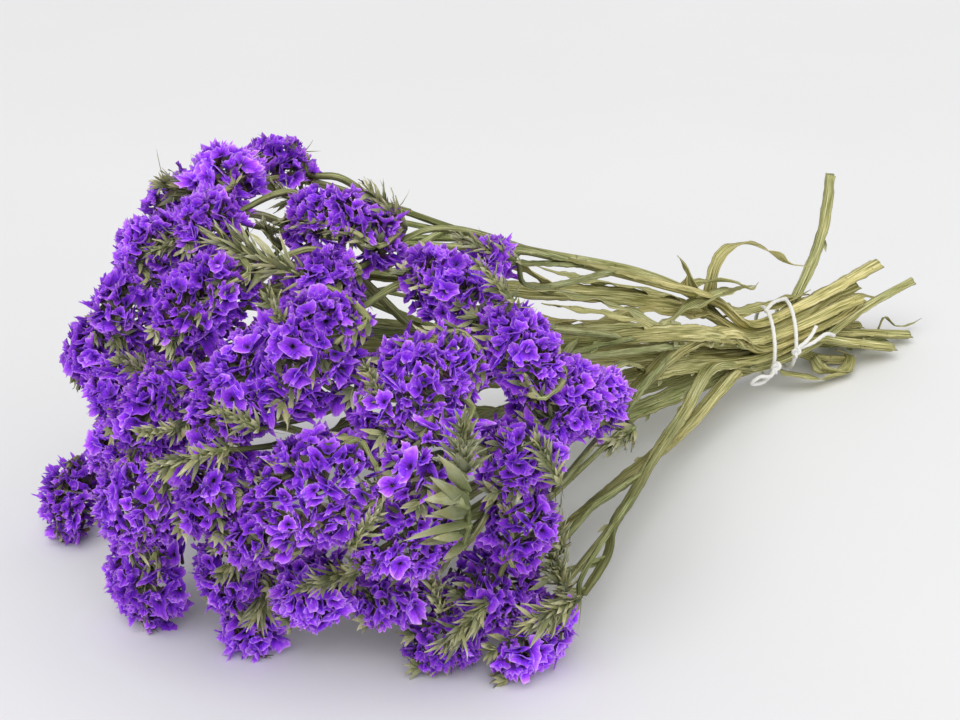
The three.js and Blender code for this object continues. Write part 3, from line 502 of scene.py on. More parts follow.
def cup_sheets(n, rng):
    """Papery funnels about +Z: five lobes, crinkled like crepe, with a rim that ruffles and folds in."""
    sheet, rim = (n, len(CUP_RINGS), CUP_SIDES), (n, 1, CUP_SIDES)
    turn = np.linspace(0.0, FULL_TURN, CUP_SIDES, endpoint=False)[None, None, :]
    radius, height = CUP_RINGS.T[:, None, :, None]
    reach = height / CUP_TALL
    spread = reach ** CUP_SPREAD
    p = rng.uniform(0.0, FULL_TURN, (8, n, 1, 1))
    a = rng.uniform(*FOLD_SIZES, (6, n, 1, 1))
    open_wide = rng.uniform(*CUP_OPEN, (n, 1, 1)) ** (reach * OPENING)
    pleat = np.sin(0.5 * CUP_SIDES * turn + p[3])
    tall, roundness, deep = LOBE_SHAPE
    lobes = tall * np.abs(np.sin(CUP_LOBES * turn / 2.0 + p[0])) ** roundness - deep
    out, up = LOBE_OUT * a[0] * lobes, LOBE_UP * a[3] * lobes
    for k, (waves, outward, upward) in enumerate(FOLDS, 1):
        out = out + outward * a[k] * np.cos(waves * turn + p[k])
        up = up + upward * a[k + 3] * np.sin(waves * turn + p[k + 3])
    r = radius * open_wide * (1.0 + spread * out) + pleat * PLEAT_OUT * spread
    r = r + crumple(spread, rim, RIM_OUT, rng)
    h = height + spread * up + pleat * PLEAT_UP * spread
    h = h + crumple(spread, rim, RIM_UP, rng)
    h = h + crumple(reach, sheet, SKIN_UP, rng)
    r = r + crumple(reach, sheet, SKIN_OUT, rng)
    for k in CREASES:
        fold = np.exp(-((np.cos(turn - p[k]) - 1.0) / CREASE_WIDTH) ** 2) * spread ** CREASE_LATE
        fold = fold * rng.uniform(0.0, 1.0, (n, 1, 1))
        r = r * (1.0 - CREASE_IN * fold)
        h = h + CREASE_UP * fold
    squeeze = rng.uniform(*SQUEEZES, (n, 1, 1)) * spread
    x = r * np.cos(turn) * (1.0 + WIDENS * squeeze)
    x = x + rng.uniform(-CUP_BEND, CUP_BEND, (n, 1, 1)) * h ** 2
    y = r * np.sin(turn) * (1.0 - squeeze)
    values = dict(reach=reach, across=turn / FULL_TURN, along=lobes)
    return np.stack([x, y, h - CUP_TALL], axis=-1), values


def flower_head(spike, rng):
    """All calyces of a head, each turned at random about its own axis."""
    rims, axes = spike["rims"], spike["axes"]
    n = len(rims)
    middle, within, between, gain = CUP_TONES
    # Painted light and shade: a calyx facing the way its head faces is lighter, one turned away darker
    tones = (rng.normal(middle, within, n) + rng.normal(0.0, between)
             + gain * (axes @ spike["face"] - 0.5) + spike["pale"])
    sheets, values = cup_sheets(n, rng)
    guide = np.where(np.abs(axes[:, 2:3]) < UPRIGHT, [[0.0, 0.0, 1.0]], [[1.0, 0.0, 0.0]])
    first = square_to(guide, axes)
    spin = rng.uniform(0.0, FULL_TURN, (n, 1))
    x = first * np.cos(spin) + np.cross(axes, first) * np.sin(spin)
    basis = np.stack([x, np.cross(axes, x), axes], axis=1)
    local = sheets * spike["sizes"][:, None, None, None]
    points = rims[:, None, None, :] + np.einsum("nrsk,nkj->nrsj", local, basis)
    sheaf = Sheaf()
    faces = many(grid_faces(len(CUP_RINGS), CUP_SIDES, True), len(CUP_RINGS) * CUP_SIDES, n)
    sheaf.add(points, [faces], lowest=LOWEST_BLADE, tone=np.clip(tones, 0.0, 1.0)[:, None, None], **values)
    return sheaf


# ---- Bracts ----

BRACT_LOOK = 1  # their material's number in a stem's piece
BRACT_SHARES = np.array([0.0, 0.22, 0.5, 0.8, 1.0])
BRACT_WIDTHS = np.array([0.34, 0.86, 1.0, 0.48, 0.02])
BRACT_CURL = (0.16, 0.08)  # middle and spread, by its length
BRACT_ARCH, BRACT_HOOK = 2.0, 0.35  # how much of the curl lies along it, and at its tip
BRACT_SWAY = 0.07  # by its length
BRACT_KEEL = 0.5  # by half its width
BRACT_CRUMPLE = (0.13, 0.1)  # out and sideways, by its width and by half of it
CUP_HELD = 2.5  # how far the bract under a calyx reaches up it
CUP_BRACT_WIDTH = 1.9
# The bracts under the calyces take only dark tones: painted shade, as they lie down among the calyces
CUP_BRACT_SHADE_TONE = 0.2
SIGNS = (-1.0, 1.0)
PAIR_LAYERS = ((-0.25, 0.55, 2.1), (0.15, 0.42, 1.8))  # rise, length by half the spike's width, width
PAIR_WAY = (0.7, 0.8)  # to its side and onward
PAIR_SHIFT = (0.5, 1.6)  # to its side and down
PAIR_SPREAD = 0.15
PAIR_LENGTHS, PAIR_WIDTHS = (0.8, 1.1), (0.85, 1.2)
END_SWINGS = (-1.0, -0.4, 0.3, 0.9)
END_LENGTH, END_WIDTH = 7.0, 2.2


def blades(sheaf, roots, ways, backs, lengths, widths, tones, rng):
    """Pointed blades, keeled along the middle. backs is the way each one's back faces."""
    n = len(roots)
    u = np.array([-1.0, 0.0, 1.0])[None, None, :]
    shape = (n, len(BRACT_SHARES), 3)
    share = BRACT_SHARES[None, :, None]
    lengths, widths = lengths[:, None, None], widths[:, None, None]
    wide = BRACT_WIDTHS[None, :, None] * widths / 2.0
    ways = unit(ways)
    backs = square_to(backs, ways)
    sides = np.cross(ways, backs)
    curl, uneven = BRACT_CURL
    bow = (curl + rng.normal(0.0, uneven, (n, 1, 1))) * lengths
    sway = rng.normal(0.0, BRACT_SWAY, (n, 1, 1)) * lengths
    out = bow * (BRACT_ARCH * share * (1.0 - share) + BRACT_HOOK * share ** 2)
    out = out + (1.0 - np.abs(u)) * wide * BRACT_KEEL
    out = out + rng.normal(0.0, BRACT_CRUMPLE[0], shape) * widths
    side = u * wide + sway * share ** 2 + rng.normal(0.0, BRACT_CRUMPLE[1], shape) * wide
    forward = share * lengths
    points = roots[:, None, None, :] + sum(
        size[..., None] * way[:, None, None, :]
        for size, way in ((forward, ways), (out, backs), (side, sides)))
    faces = many(grid_faces(len(BRACT_SHARES), 3, False), shape[1] * shape[2], n)
    sheaf.add(points, [faces], BRACT_LOOK, LOWEST_BLADE, reach=share, across=u, along=forward,
              tone=tones[:, None, None])


def columns(rows):
    """The rows' roots, ways, backs, lengths and widths, each as one array."""
    return [np.array(column) for column in zip(*rows)]


def spike_bracts(sheaf, spike, rng):
    """A bract under each calyx, from the nearest rachis, and broader ones below the flowers."""
    lines = flower_rows(spike)
    bases = spike["rims"] - spike["axes"] * (CUP_TALL * spike["sizes"])[:, None]
    places = np.vstack(lines)
    held = places[np.linalg.norm(bases[:, None, :] - places[None, :, :], axis=2).argmin(1)]
    ways = bases + spike["axes"] * CUP_HELD - held
    # Bracts under the calyces get low tones, painted shade deep in the head
    blades(sheaf, held, ways, rng.normal(size=ways.shape), np.linalg.norm(ways, axis=1),
           np.full(len(held), CUP_BRACT_WIDTH), rng.uniform(0.0, CUP_BRACT_SHADE_TONE, len(held)), rng)
    rows = []
    half = spike["width"] / 2.0
    for line in lines:
        along = tangents(line)
        for place, way in zip(line, along):
            up = square_to(spike["face"], way)
            for side in (sign * np.cross(up, way) for sign in SIGNS):
                for rise, longer, wide in PAIR_LAYERS:
                    root = place + side * PAIR_SHIFT[0] - up * rng.uniform(0.0, PAIR_SHIFT[1])
                    onward = side * PAIR_WAY[0] + way * PAIR_WAY[1] + up * rise
                    rows.append((root, onward + rng.normal(0.0, PAIR_SPREAD, 3), -up,
                                 half * longer * rng.uniform(*PAIR_LENGTHS),
                                 wide * rng.uniform(*PAIR_WIDTHS)))
        up = square_to(spike["face"], along[-1])
        for swing in END_SWINGS:
            rows.append((line[-1], along[-1] + np.cross(up, along[-1]) * swing, -up, END_LENGTH, END_WIDTH))
    blades(sheaf, *columns(rows), rng.uniform(0.0, 1.0, len(rows)), rng)


TUFT_BACK = 0.25  # how far behind it a tuft's twig bends, by its length
TUFT_UNDER = 7.0  # and how far under it
TUFT_SUNK = 0.3  # how far the twig runs on inside it, by its length
TUFT_TWIG = (3.0, 2.2, 0.4)  # width, thickness and taper of its twig
TUFT_AXIS = (1.8, 1.4, 0.5)  # and of its axis
AXIS_BEND = (0.4, 0.6)  # by its length, and down
TUFT_STEP = 1.6  # from one pair of its bracts to the next
TUFT_ENDS = (-0.08, 0.92)
LEAFY_FROM = 0.5  # where the pairs of a leafy tuft start
TUFT_SHARE, LEAFY_SHARE = 1 / 2.0, 1 / 3.6  # length of its bracts, by its width
# Its bracts: outward, rise and length
TUFT_LAYERS = ((0.95, -0.1, 1.0), (0.7, 0.3, 0.95), (0.4, 0.6, 0.9), (0.15, 0.9, 0.7))
TUFT_BARE = 0.3  # share of its bracts that are missing
TUFT_SWELL = (0.6, 0.4, 0.3, 0.7)  # least length, what it gains, and where the swell starts and runs to
TUFT_LEAN = (1.05, 0.5)  # how far out they point at its foot, and how much less at its tip
TUFT_LIFT = (0.5, 0.1)  # how much of that rise their ways take, and how far all of them drop
TUFT_DEPTH = 0.8
TUFT_SPREAD = (0.33, 0.6)  # of their ways and backs
TUFT_LENGTHS, TUFT_WIDTHS = (0.8, 1.9), (0.9, 1.9)
LEAFY_SHIFT = 1.5
LEAFY_RISE, LEAFY_TURN = (-0.3, 0.7), (-0.2, 0.6)
LEAFY_SPREAD = 0.45
LEAFY_LENGTHS, LEAFY_WIDTHS = (0.65, 1.2), (3.4, 6.0)
BROAD_TUFT = 14.0  # from this width on, long leaves hang under a tuft
HANGING = 6
HANGING_ENDS, HANGING_FALL = (0.0, 0.6), (-1.0, -0.2)
HANGING_WAY = (0.9, 0.5, 0.4)  # onward, spread to the sides, and spread of the backs
HANGING_LENGTHS, HANGING_WIDTHS = (9.0, 16.0), (1.8, 3.2)
HAIRS = 5  # thin dry hairs on a tuft
HAIR_ENDS, HAIR_ONWARD = (-0.2, 0.9), 0.5
HAIR_LENGTHS, HAIR_WIDTH = (6.0, 14.0), 0.4
TUFT_TONES, LEAFY_TONES = (0.1, 1.0), (0.1, 0.6)


class Tuft:
    """A spike that turns its bracts outward, with its own axes."""

    def __init__(self, root, tip, width):
        self.root, self.tip, self.width = np.array(root, float), np.array(tip, float), width
        self.long = np.linalg.norm(self.tip - self.root)
        self.run = (self.tip - self.root) / self.long
        self.face = square_to(facing(self.root), self.run)
        self.side = np.cross(self.face, self.run)

    def at(self, share, down=0.0):
        """The place at a share of its length, and so far down from it."""
        return self.root + self.run * self.long * share - self.face * down


def paired_bracts(tuft, leafy, rng):
    """The pairs of pointed bracts along a tuft."""
    rows = []
    half = tuft.width * (LEAFY_SHARE if leafy else TUFT_SHARE)
    start, end = TUFT_ENDS
    least, gain, begin, much = TUFT_SWELL
    lean, less = TUFT_LEAN
    lift, drop = TUFT_LIFT
    count = max(5, int(round(tuft.long / TUFT_STEP)))
    for share in np.linspace(LEAFY_FROM if leafy else start, end, count):
        wide = half * (least + gain * math.sin(math.pi * min(1.0, begin + much * max(share, 0.0))))
        for side in (tuft.side * sign for sign in SIGNS):
            for outward, rise, longer in TUFT_LAYERS:
                if rng.uniform() < TUFT_BARE:
                    continue
                way = side * outward * (lean - less * share) + tuft.run + tuft.face * (rise * lift - drop)
                rows.append((tuft.at(share, TUFT_DEPTH - rise), way + rng.normal(0.0, TUFT_SPREAD[0], 3),
                             tuft.face + rng.normal(0.0, TUFT_SPREAD[1], 3),
                             wide * longer * rng.uniform(*TUFT_LENGTHS), rng.uniform(*TUFT_WIDTHS)))
    return rows


def leafy_blades(tuft, rng):
    """The long pointed leaves that hang to one side of the leafy tuft."""
    rows = []
    for share, fall, longer in LEAFY:
        root = tuft.at(share, max(0.0, -share) / TUFT_BACK * TUFT_UNDER)
        root = root + tuft.side * rng.uniform(-LEAFY_SHIFT, LEAFY_SHIFT)
        way = tuft.side - tuft.run * (fall + rng.normal(0.0, TUFT_SPREAD[0]))
        rows.append((root, way + tuft.face * rng.uniform(*LEAFY_RISE),
                     tuft.face + tuft.run * rng.uniform(*LEAFY_TURN) + rng.normal(0.0, LEAFY_SPREAD, 3),
                     longer * rng.uniform(*LEAFY_LENGTHS), rng.uniform(*LEAFY_WIDTHS)))
    return rows


def hanging_leaves(tuft, rng):
    """The leaves that hang under a broad tuft."""
    rows = []
    onward, sideways, spread = HANGING_WAY
    for share in np.linspace(*HANGING_ENDS, HANGING):
        way = tuft.run * onward + tuft.side * rng.normal(0.0, sideways)
        rows.append((tuft.at(share), way + [0.0, 0.0, rng.uniform(*HANGING_FALL)],
                     tuft.face + rng.normal(0.0, spread, 3), rng.uniform(*HANGING_LENGTHS),
                     rng.uniform(*HANGING_WIDTHS)))
    return rows


def hairs(tuft, rng):
    """Thin dry hairs that stand out of a tuft."""
    return [(tuft.at(rng.uniform(*HAIR_ENDS)), rng.normal(0.0, 1.0, 3) + tuft.face + tuft.run * HAIR_ONWARD,
             rng.normal(0.0, 1.0, 3), rng.uniform(*HAIR_LENGTHS), HAIR_WIDTH) for _ in range(HAIRS)]


def grow_tuft(sheaf, start, tuft, leafy, rng):
    """A tuft: its twig and its axis, then pointed bracts with straw tips."""
    root = tuft.root
    bend = tuft.at(-TUFT_BACK, TUFT_UNDER)
    twig(sheaf, [start, bend, root, tuft.at(TUFT_SUNK)], tuft.side, TUFT_TWIG, rng)
    axis = [root - tuft.run, tuft.at(*AXIS_BEND), tuft.tip - tuft.face]
    twig(sheaf, axis, tuft.side, TUFT_AXIS, rng)
    rows = paired_bracts(tuft, leafy, rng)
    if leafy:
        rows += leafy_blades(tuft, rng)
    elif tuft.width >= BROAD_TUFT:
        rows += hanging_leaves(tuft, rng)
    rows += hairs(tuft, rng)
    tones = rng.uniform(*(LEAFY_TONES if leafy else TUFT_TONES), len(rows))
    blades(sheaf, *columns(rows), tones, rng)


SCALES = 6  # small dry scales along a strap
SCALE_ENDS = (0.04, 0.9)
SCALE_CLEAR = 6.0  # how far from the string they keep
SCALE_ROOT = 0.3  # by the strap's width
SCALE_OUT = (0.2, 0.7)
SCALE_LENGTHS, SCALE_WIDTHS, SCALE_TONES = (5.0, 10.0), (1.8, 3.0), (0.6, 1.0)


def strap_scales(sheaf, line, across, width, rng):
    """Small dry scales where a strap once had leaves."""
    places = (rng.uniform(*SCALE_ENDS, SCALES) * (len(line) - 1)).astype(int)
    x = line[places, 0]
    loose = places[(x <= TIE_TO - SCALE_CLEAR) | (x >= TIE_FROM + SCALE_CLEAR)]
    n = len(loose)
    if n == 0:
        return
    ways = tangents(line)[loose]
    sides = square_to(across[loose], ways)
    out = sides * rng.choice(SIGNS, (n, 1))
    blades(sheaf, line[loose] + out * width * SCALE_ROOT, ways + out * rng.uniform(*SCALE_OUT, (n, 1)),
           np.cross(ways, sides), rng.uniform(*SCALE_LENGTHS, n), rng.uniform(*SCALE_WIDTHS, n),
           rng.uniform(*SCALE_TONES, n), rng)


# ---- Straps, twigs and leaves ----

STEM_WIDTH = 9.6  # of a strap with no width of its own
STEM_THICK = 4.2
STEM_TAPER = 0.5  # share of its width that a strap loses by its fork
TIED_WIDTH = 0.88  # share that it keeps under the string
TIE_EASE = 8.0  # over this length it narrows towards the string
TWIST_LENGTH = 70.0  # and turns on edge over this length past it
RING_STEP = 2.6  # from one ring of points to the next
STRAP_SHARES = np.array([-1.0, -0.8, -0.6, -0.42, -0.2, 0.0, 0.2, 0.42, 0.6, 0.8, 1.0])
TWIG_SHARES = np.array([-1.0, -0.5, 0.0, 0.5, 1.0])
PHASES = 6.28  # range of the random phases of its waves
WING_WAVE, WING_WAVES = 0.12, (53.0, 31.0, 17.0, 9.0)  # size by half its width, and lengths
DROOP, DROOP_WAVES = 0.8, (61.0, 27.0, 13.0, 7.0)  # of a wing's edge, up and down
TORN = 0.07
RIB_SHARE = 0.5  # half width of the rib, by the wing's
RIB_UNDER = 0.9  # how thick it is below, against above
SKIN, SKIN_SWELL = 0.22, 0.1  # half thickness of a wing's edge, and what the middle adds
RIDGE, RIDGES, RIDGED = 0.16, 24.0, 0.9  # height, how close they lie, and how far out
TWIG_STEP, AXIS_STEP = 2.4, 3.0
# Highest tone of a twig: twigs run inside the heads and take only darker tones, painted shade
TWIG_SHADE_TONE = 0.35
TWIG_SIZE = (3.52, 2.6, 0.4)  # width, thickness and taper
AXIS_SIZE = (2.6, 2.0, 0.5)  # and of a rachis
AXIS_DEPTH = 2.8  # of a spike's foot below its flowers
AXIS_BACK, AXIS_SUNK = 2.0, 1.2  # where a rachis starts, and how far under its bracts it lies
TWIG_FOOT = -0.4  # where a twig meets its spike, by its length
TWIG_BEND = 0.4  # share of the way to a spike over which its twig bends in
TWIG_BEHIND, TWIG_BACK = 0.8, 0.1  # how far behind its foot and back along the strap, by that
TWIG_UNDER = (0.85, 0.6)  # how far under its foot, and how much less where it comes from behind
FORK_FIRST, FORK_STEP = 0.1, 0.06  # of a step to the first twig, and share of the strap to the next
LEAF_STEP = 2.2
LEAF_SHARES = np.array([-1.0, -0.6, -0.2, 0.2, 0.6, 1.0])
LEAF_THICK = 0.3
LEAF_TIP, LEAF_TAPERS = 0.05, 0.7  # width of its tip, and from where on it tapers to it
LEAF_SWELL = (0.35, 0.65, 0.7, 0.22)  # least width, what it gains, how much of a swell, and its start
LEAF_EDGE, LEAF_EDGES = 0.16, ((19.0, 11.0, 7.0), (17.0, 9.0, 6.0))
LEAF_TWIST, LEAF_TWISTS = 0.7, (47.0, 23.0, 90.0)
LEAF_CUP = 0.3
LEAF_CURL, LEAF_CURLS = 0.5, (15.0, 8.0, 33.0)
LEAF_SHADE_REACH, DARK_LEAF_SHADE_REACH = 0.5, 0.9  # how dark its tip comes out under the painted shade of the stem colour, and the least reach of a leaf painted dark all along with that shade
LEAF_TONES = (0.4, 1.0)


def strap_sides(line, twist):
    """The ways a strap's width points: flat under the string, turned on edge further on."""
    turn = np.radians(twist * smooth(TIE_TO - line[:, 0], 0.0, TWIST_LENGTH))
    return np.stack([np.zeros(len(line)), np.cos(turn), np.sin(turn)], axis=1)


def strap(sheaf, line, along, sides, size, rng, tied):
    """A stem: a ribbed middle, and on each side a thin wing whose edge waves and tears."""
    width, thick, taper = size
    ways = tangents(line)
    across = square_to(np.broadcast_to(sides, line.shape), ways)
    share = along / along[-1]
    thin = 1.0 - taper * share ** 3
    x = line[:, 0]
    held = smooth(x, TIE_TO - TIE_EASE, TIE_TO) * (1.0 - smooth(x, TIE_FROM, TIE_FROM + TIE_EASE)) * tied
    phases = rng.uniform(0.0, PHASES, (4, 4))
    half = width / 2.0
    wings = []
    for k in (0, 1):
        wave = ripple(along, phases[k], WING_WAVES)
        torn = np.minimum(0.0, rng.normal(0.0, TORN, len(line)))
        edge = half * thin * (1.0 + WING_WAVE * (1.0 - held) * (wave + torn))
        wings.append(edge * (1.0 - held) + half * TIED_WIDTH * held)
    droops = [ripple(along, phases[2 + k], DROOP_WAVES) * DROOP * (1.0 - held) * thin for k in (0, 1)]
    u = STRAP_SHARES if tied else TWIG_SHARES
    rib = np.sqrt(np.maximum(0.0, 1.0 - (u / RIB_SHARE) ** 2)) * thick / 2.0
    skin = SKIN + SKIN_SWELL * (1.0 - np.abs(u))
    upper = rib + skin + RIDGE * np.cos(u * RIDGES) * (np.abs(u) < RIDGED)
    lower = -(rib * RIB_UNDER + skin)
    around = np.concatenate([u, u[-2:0:-1]])
    high = np.concatenate([upper, lower[-2:0:-1]])
    wing, droop = (np.where(around < 0, one[:, None], other[:, None]) for one, other in (wings, droops))
    points = swept(line, around * wing, across, high * thin[:, None] + droop * around ** 2,
                   np.cross(ways, across))
    # A twig's tone stays low: painted shade inside the heads
    sheaf.add(points, tube_faces(*wing.shape), reach=share[:, None], across=around,
              along=along[:, None], tone=rng.uniform(0.0, 1.0 if tied else TWIG_SHADE_TONE))


def twig(sheaf, route, side, size, rng, step=TWIG_STEP):
    line, along = curve_line(route, step)
    strap(sheaf, line, along, side, size, rng, False)


def leaf(sheaf, width, route, shade_reach, rng):
    """A dried leaf: a thin strap that widens, curls at its edges and ends in a point."""
    line, along = curve_line(route, LEAF_STEP)
    ways = tangents(line)
    across = square_to(np.broadcast_to([0.0, 1.0, 0.0], line.shape), ways)
    share = along / along[-1]
    phases = rng.uniform(0.0, PHASES, (3, 3))
    least, gain, much, start = LEAF_SWELL
    swell = least + gain * np.sin(math.pi * np.minimum(1.0, share * much + start))
    half = width / 2.0 * swell * (1.0 - (1.0 - LEAF_TIP) * smooth(share, LEAF_TAPERS, 1.0))
    twist = (ripple(along, phases[0], LEAF_TWISTS) * LEAF_TWIST)[:, None]
    edges = [1.0 + LEAF_EDGE * ripple(along, phases[k], LEAF_EDGES[k - 1])[:, None] for k in (1, 2)]
    curl = LEAF_CUP * half + LEAF_CURL * ripple(along, phases[2], LEAF_CURLS)
    around = np.concatenate([LEAF_SHARES, LEAF_SHARES[::-1]])
    skin = np.repeat([LEAF_THICK / 2.0, -LEAF_THICK / 2.0], len(LEAF_SHARES))
    x = around * half[:, None] * np.where(around < 0, *edges)
    y = curl[:, None] * around ** 2 + skin
    points = swept(line, x * np.cos(twist) - y * np.sin(twist), across,
                   x * np.sin(twist) + y * np.cos(twist), np.cross(ways, across))
    # reach carries the painted shade of the stem colour: a dark leaf deep in the bunch takes its shade
    # reach all along
    sheaf.add(points, tube_faces(*x.shape), reach=np.maximum(share * LEAF_SHADE_REACH, shade_reach)[:, None],
              across=around, along=along[:, None], tone=rng.uniform(*LEAF_TONES))


def twig_route(spike, start, onward):
    """The way of a spike's twig: out of the strap, under the flowers and up to the spike's foot."""
    foot = spike["foot"] + spike["run"] * spike["length"] * TWIG_FOOT - spike["face"] * AXIS_DEPTH
    reach = np.linalg.norm(foot - start) * TWIG_BEND
    under, less = TWIG_UNDER
    bend = (foot - spike["run"] * reach * TWIG_BEHIND * spike["behind"]
            - spike["face"] * reach * (under - less * spike["behind"]) - onward * reach * TWIG_BACK)
    return [start, bend, foot]


def grow_stem(stem, spikes, rng):
    """A whole stem: its strap, its twigs with their spikes and tufts, and its leaves."""
    sheaf = Sheaf()
    tied = [(x, *stem["slot"]) for x in (TIE_FROM, TIE_TO)]
    line, along = curve_line([*stem["tail"], *tied, *stem["reach"]], RING_STEP)
    sides = strap_sides(line, stem["twist"])
    width = stem.get("width", STEM_WIDTH)
    strap(sheaf, line, along, sides, (width, STEM_THICK, STEM_TAPER), rng, True)
    strap_scales(sheaf, line, sides, width, rng)
    ways = tangents(line)
    leafy = "leafy" in stem
    tufts = stem["leafy" if leafy else "tufts"]
    shares = [1.0 - (i + FORK_FIRST) * FORK_STEP for i in range(len(spikes) + len(tufts))]
    forks = [int(round(share * (len(line) - 1))) for share in shares]
    for spike, k in zip(spikes, forks):
        rows = flower_rows(spike)
        middle = np.mean([row[0] for row in rows], axis=0) - spike["face"]
        route = [*twig_route(spike, line[k], ways[k]), middle]
        twig(sheaf, route, spike["across"], TWIG_SIZE, rng)
        for row in rows:
            axis = [middle - spike["run"] * AXIS_BACK, *(row[::2] - spike["face"] * AXIS_SUNK)]
            twig(sheaf, axis, spike["across"], AXIS_SIZE, rng, AXIS_STEP)
        spike_bracts(sheaf, spike, rng)
    for tuft, k in zip(tufts, forks[len(spikes):]):
        grow_tuft(sheaf, line[k], Tuft(*tuft), leafy, rng)
    # The dark leaves lie in the bunch's shade and are painted dark with it
    for kind, shade_reach in (("leaves", 0.0), ("dark", DARK_LEAF_SHADE_REACH)):
        for one in stem.get(kind, ()):
            leaf(sheaf, *one, shade_reach, rng)
    return sheaf


# ---- String ----

CORD_STEP = 0.75
CORD_SIDES = 12
CORD_LAY = 7.0  # length over which its two strands turn once
CORD_WAIST, CORD_STRAND, CORD_FUZZ = 0.84, 0.2, 0.02  # shares of its radius
CORD_GUIDES = ((0.35, 0.2, 1.0), (1.0, 0.0, 0.0))  # of an open and of a closed line
TURN_POINTS, ROUTE_POINTS, KNOT_POINTS = 96, 60, 72
KNOT_INSET = 0.6  # how far inside its size a knot's strand lies
KNOT_RADIUS = 0.9  # by the string's


def cord(sheaf, line, closed, radius, rng):
    """Two-ply string along a line: a twisted outline of two strands."""
    if closed:
        line, along = even_line(np.vstack([line, line[:1]]), CORD_STEP)
        line, along = line[:-1], along[:-1]
        ways = unit(np.roll(line, -1, axis=0) - np.roll(line, 1, axis=0))
        faces = [grid_faces(len(line) + 1, CORD_SIDES, True) % (len(line) * CORD_SIDES)]
    else:
        line, along = even_line(line, CORD_STEP)
        ways = tangents(line)
        faces = tube_faces(len(line), CORD_SIDES)
    first = square_to(np.broadcast_to(CORD_GUIDES[closed], line.shape), ways)
    turn = np.linspace(0.0, FULL_TURN, CORD_SIDES, endpoint=False)[None, :]
    lay = (along * FULL_TURN / CORD_LAY)[:, None]
    fuzz = rng.normal(0.0, CORD_FUZZ, (len(line), CORD_SIDES))
    r = radius * (CORD_WAIST + CORD_STRAND * np.abs(np.cos(turn - lay)) + fuzz)
    points = swept(line, r * np.cos(turn), first, r * np.sin(turn), np.cross(ways, first))
    sheaf.add(points, faces, across=turn / FULL_TURN, along=along[:, None], tone=0.5)


def tie_string(rng):
    """The two turns, the strand across the top, the loop, the two ends and the two knots."""
    sheaf = Sheaf()
    turn = np.linspace(0.0, FULL_TURN, TURN_POINTS, endpoint=False)
    for place in TURN_PLACES:
        line = np.stack([place + TURN_SLANT * np.cos(turn),
                         TIE_HALF_WIDTH * np.cos(turn),
                         TIE_HEIGHT + TIE_HALF_HEIGHT * np.sin(turn)], axis=1)
        cord(sheaf, line, True, STRING_RADIUS, rng)
    for route in STRING_ROUTES:
        cord(sheaf, catmull(route, ROUTE_POINTS), False, STRING_RADIUS, rng)
    turn = np.linspace(0.0, FULL_TURN, KNOT_POINTS, endpoint=False)
    trefoil = np.stack([np.sin(turn) + 2.0 * np.sin(2.0 * turn),
                        -1.2 * np.sin(3.0 * turn),
                        np.cos(turn) - 2.0 * np.cos(2.0 * turn)], axis=1) / 3.0
    for knot in KNOTS:
        line = np.array(knot["at"]) + trefoil * (np.array(knot["size"]) - KNOT_INSET)
        cord(sheaf, line, True, STRING_RADIUS * KNOT_RADIUS, rng)
    return sheaf


# ---- Materials ----

def srgb(*colour):
    """An sRGB colour in 0 to 255 as linear shares."""
    shares = (c / 255.0 for c in colour)
    return tuple(c / 12.92 if c <= 0.04045 else ((c + 0.055) / 1.055) ** 2.4 for c in shares)


BLACK, WHITE = (0.0, 0.0, 0.0), (1.0, 1.0, 1.0)


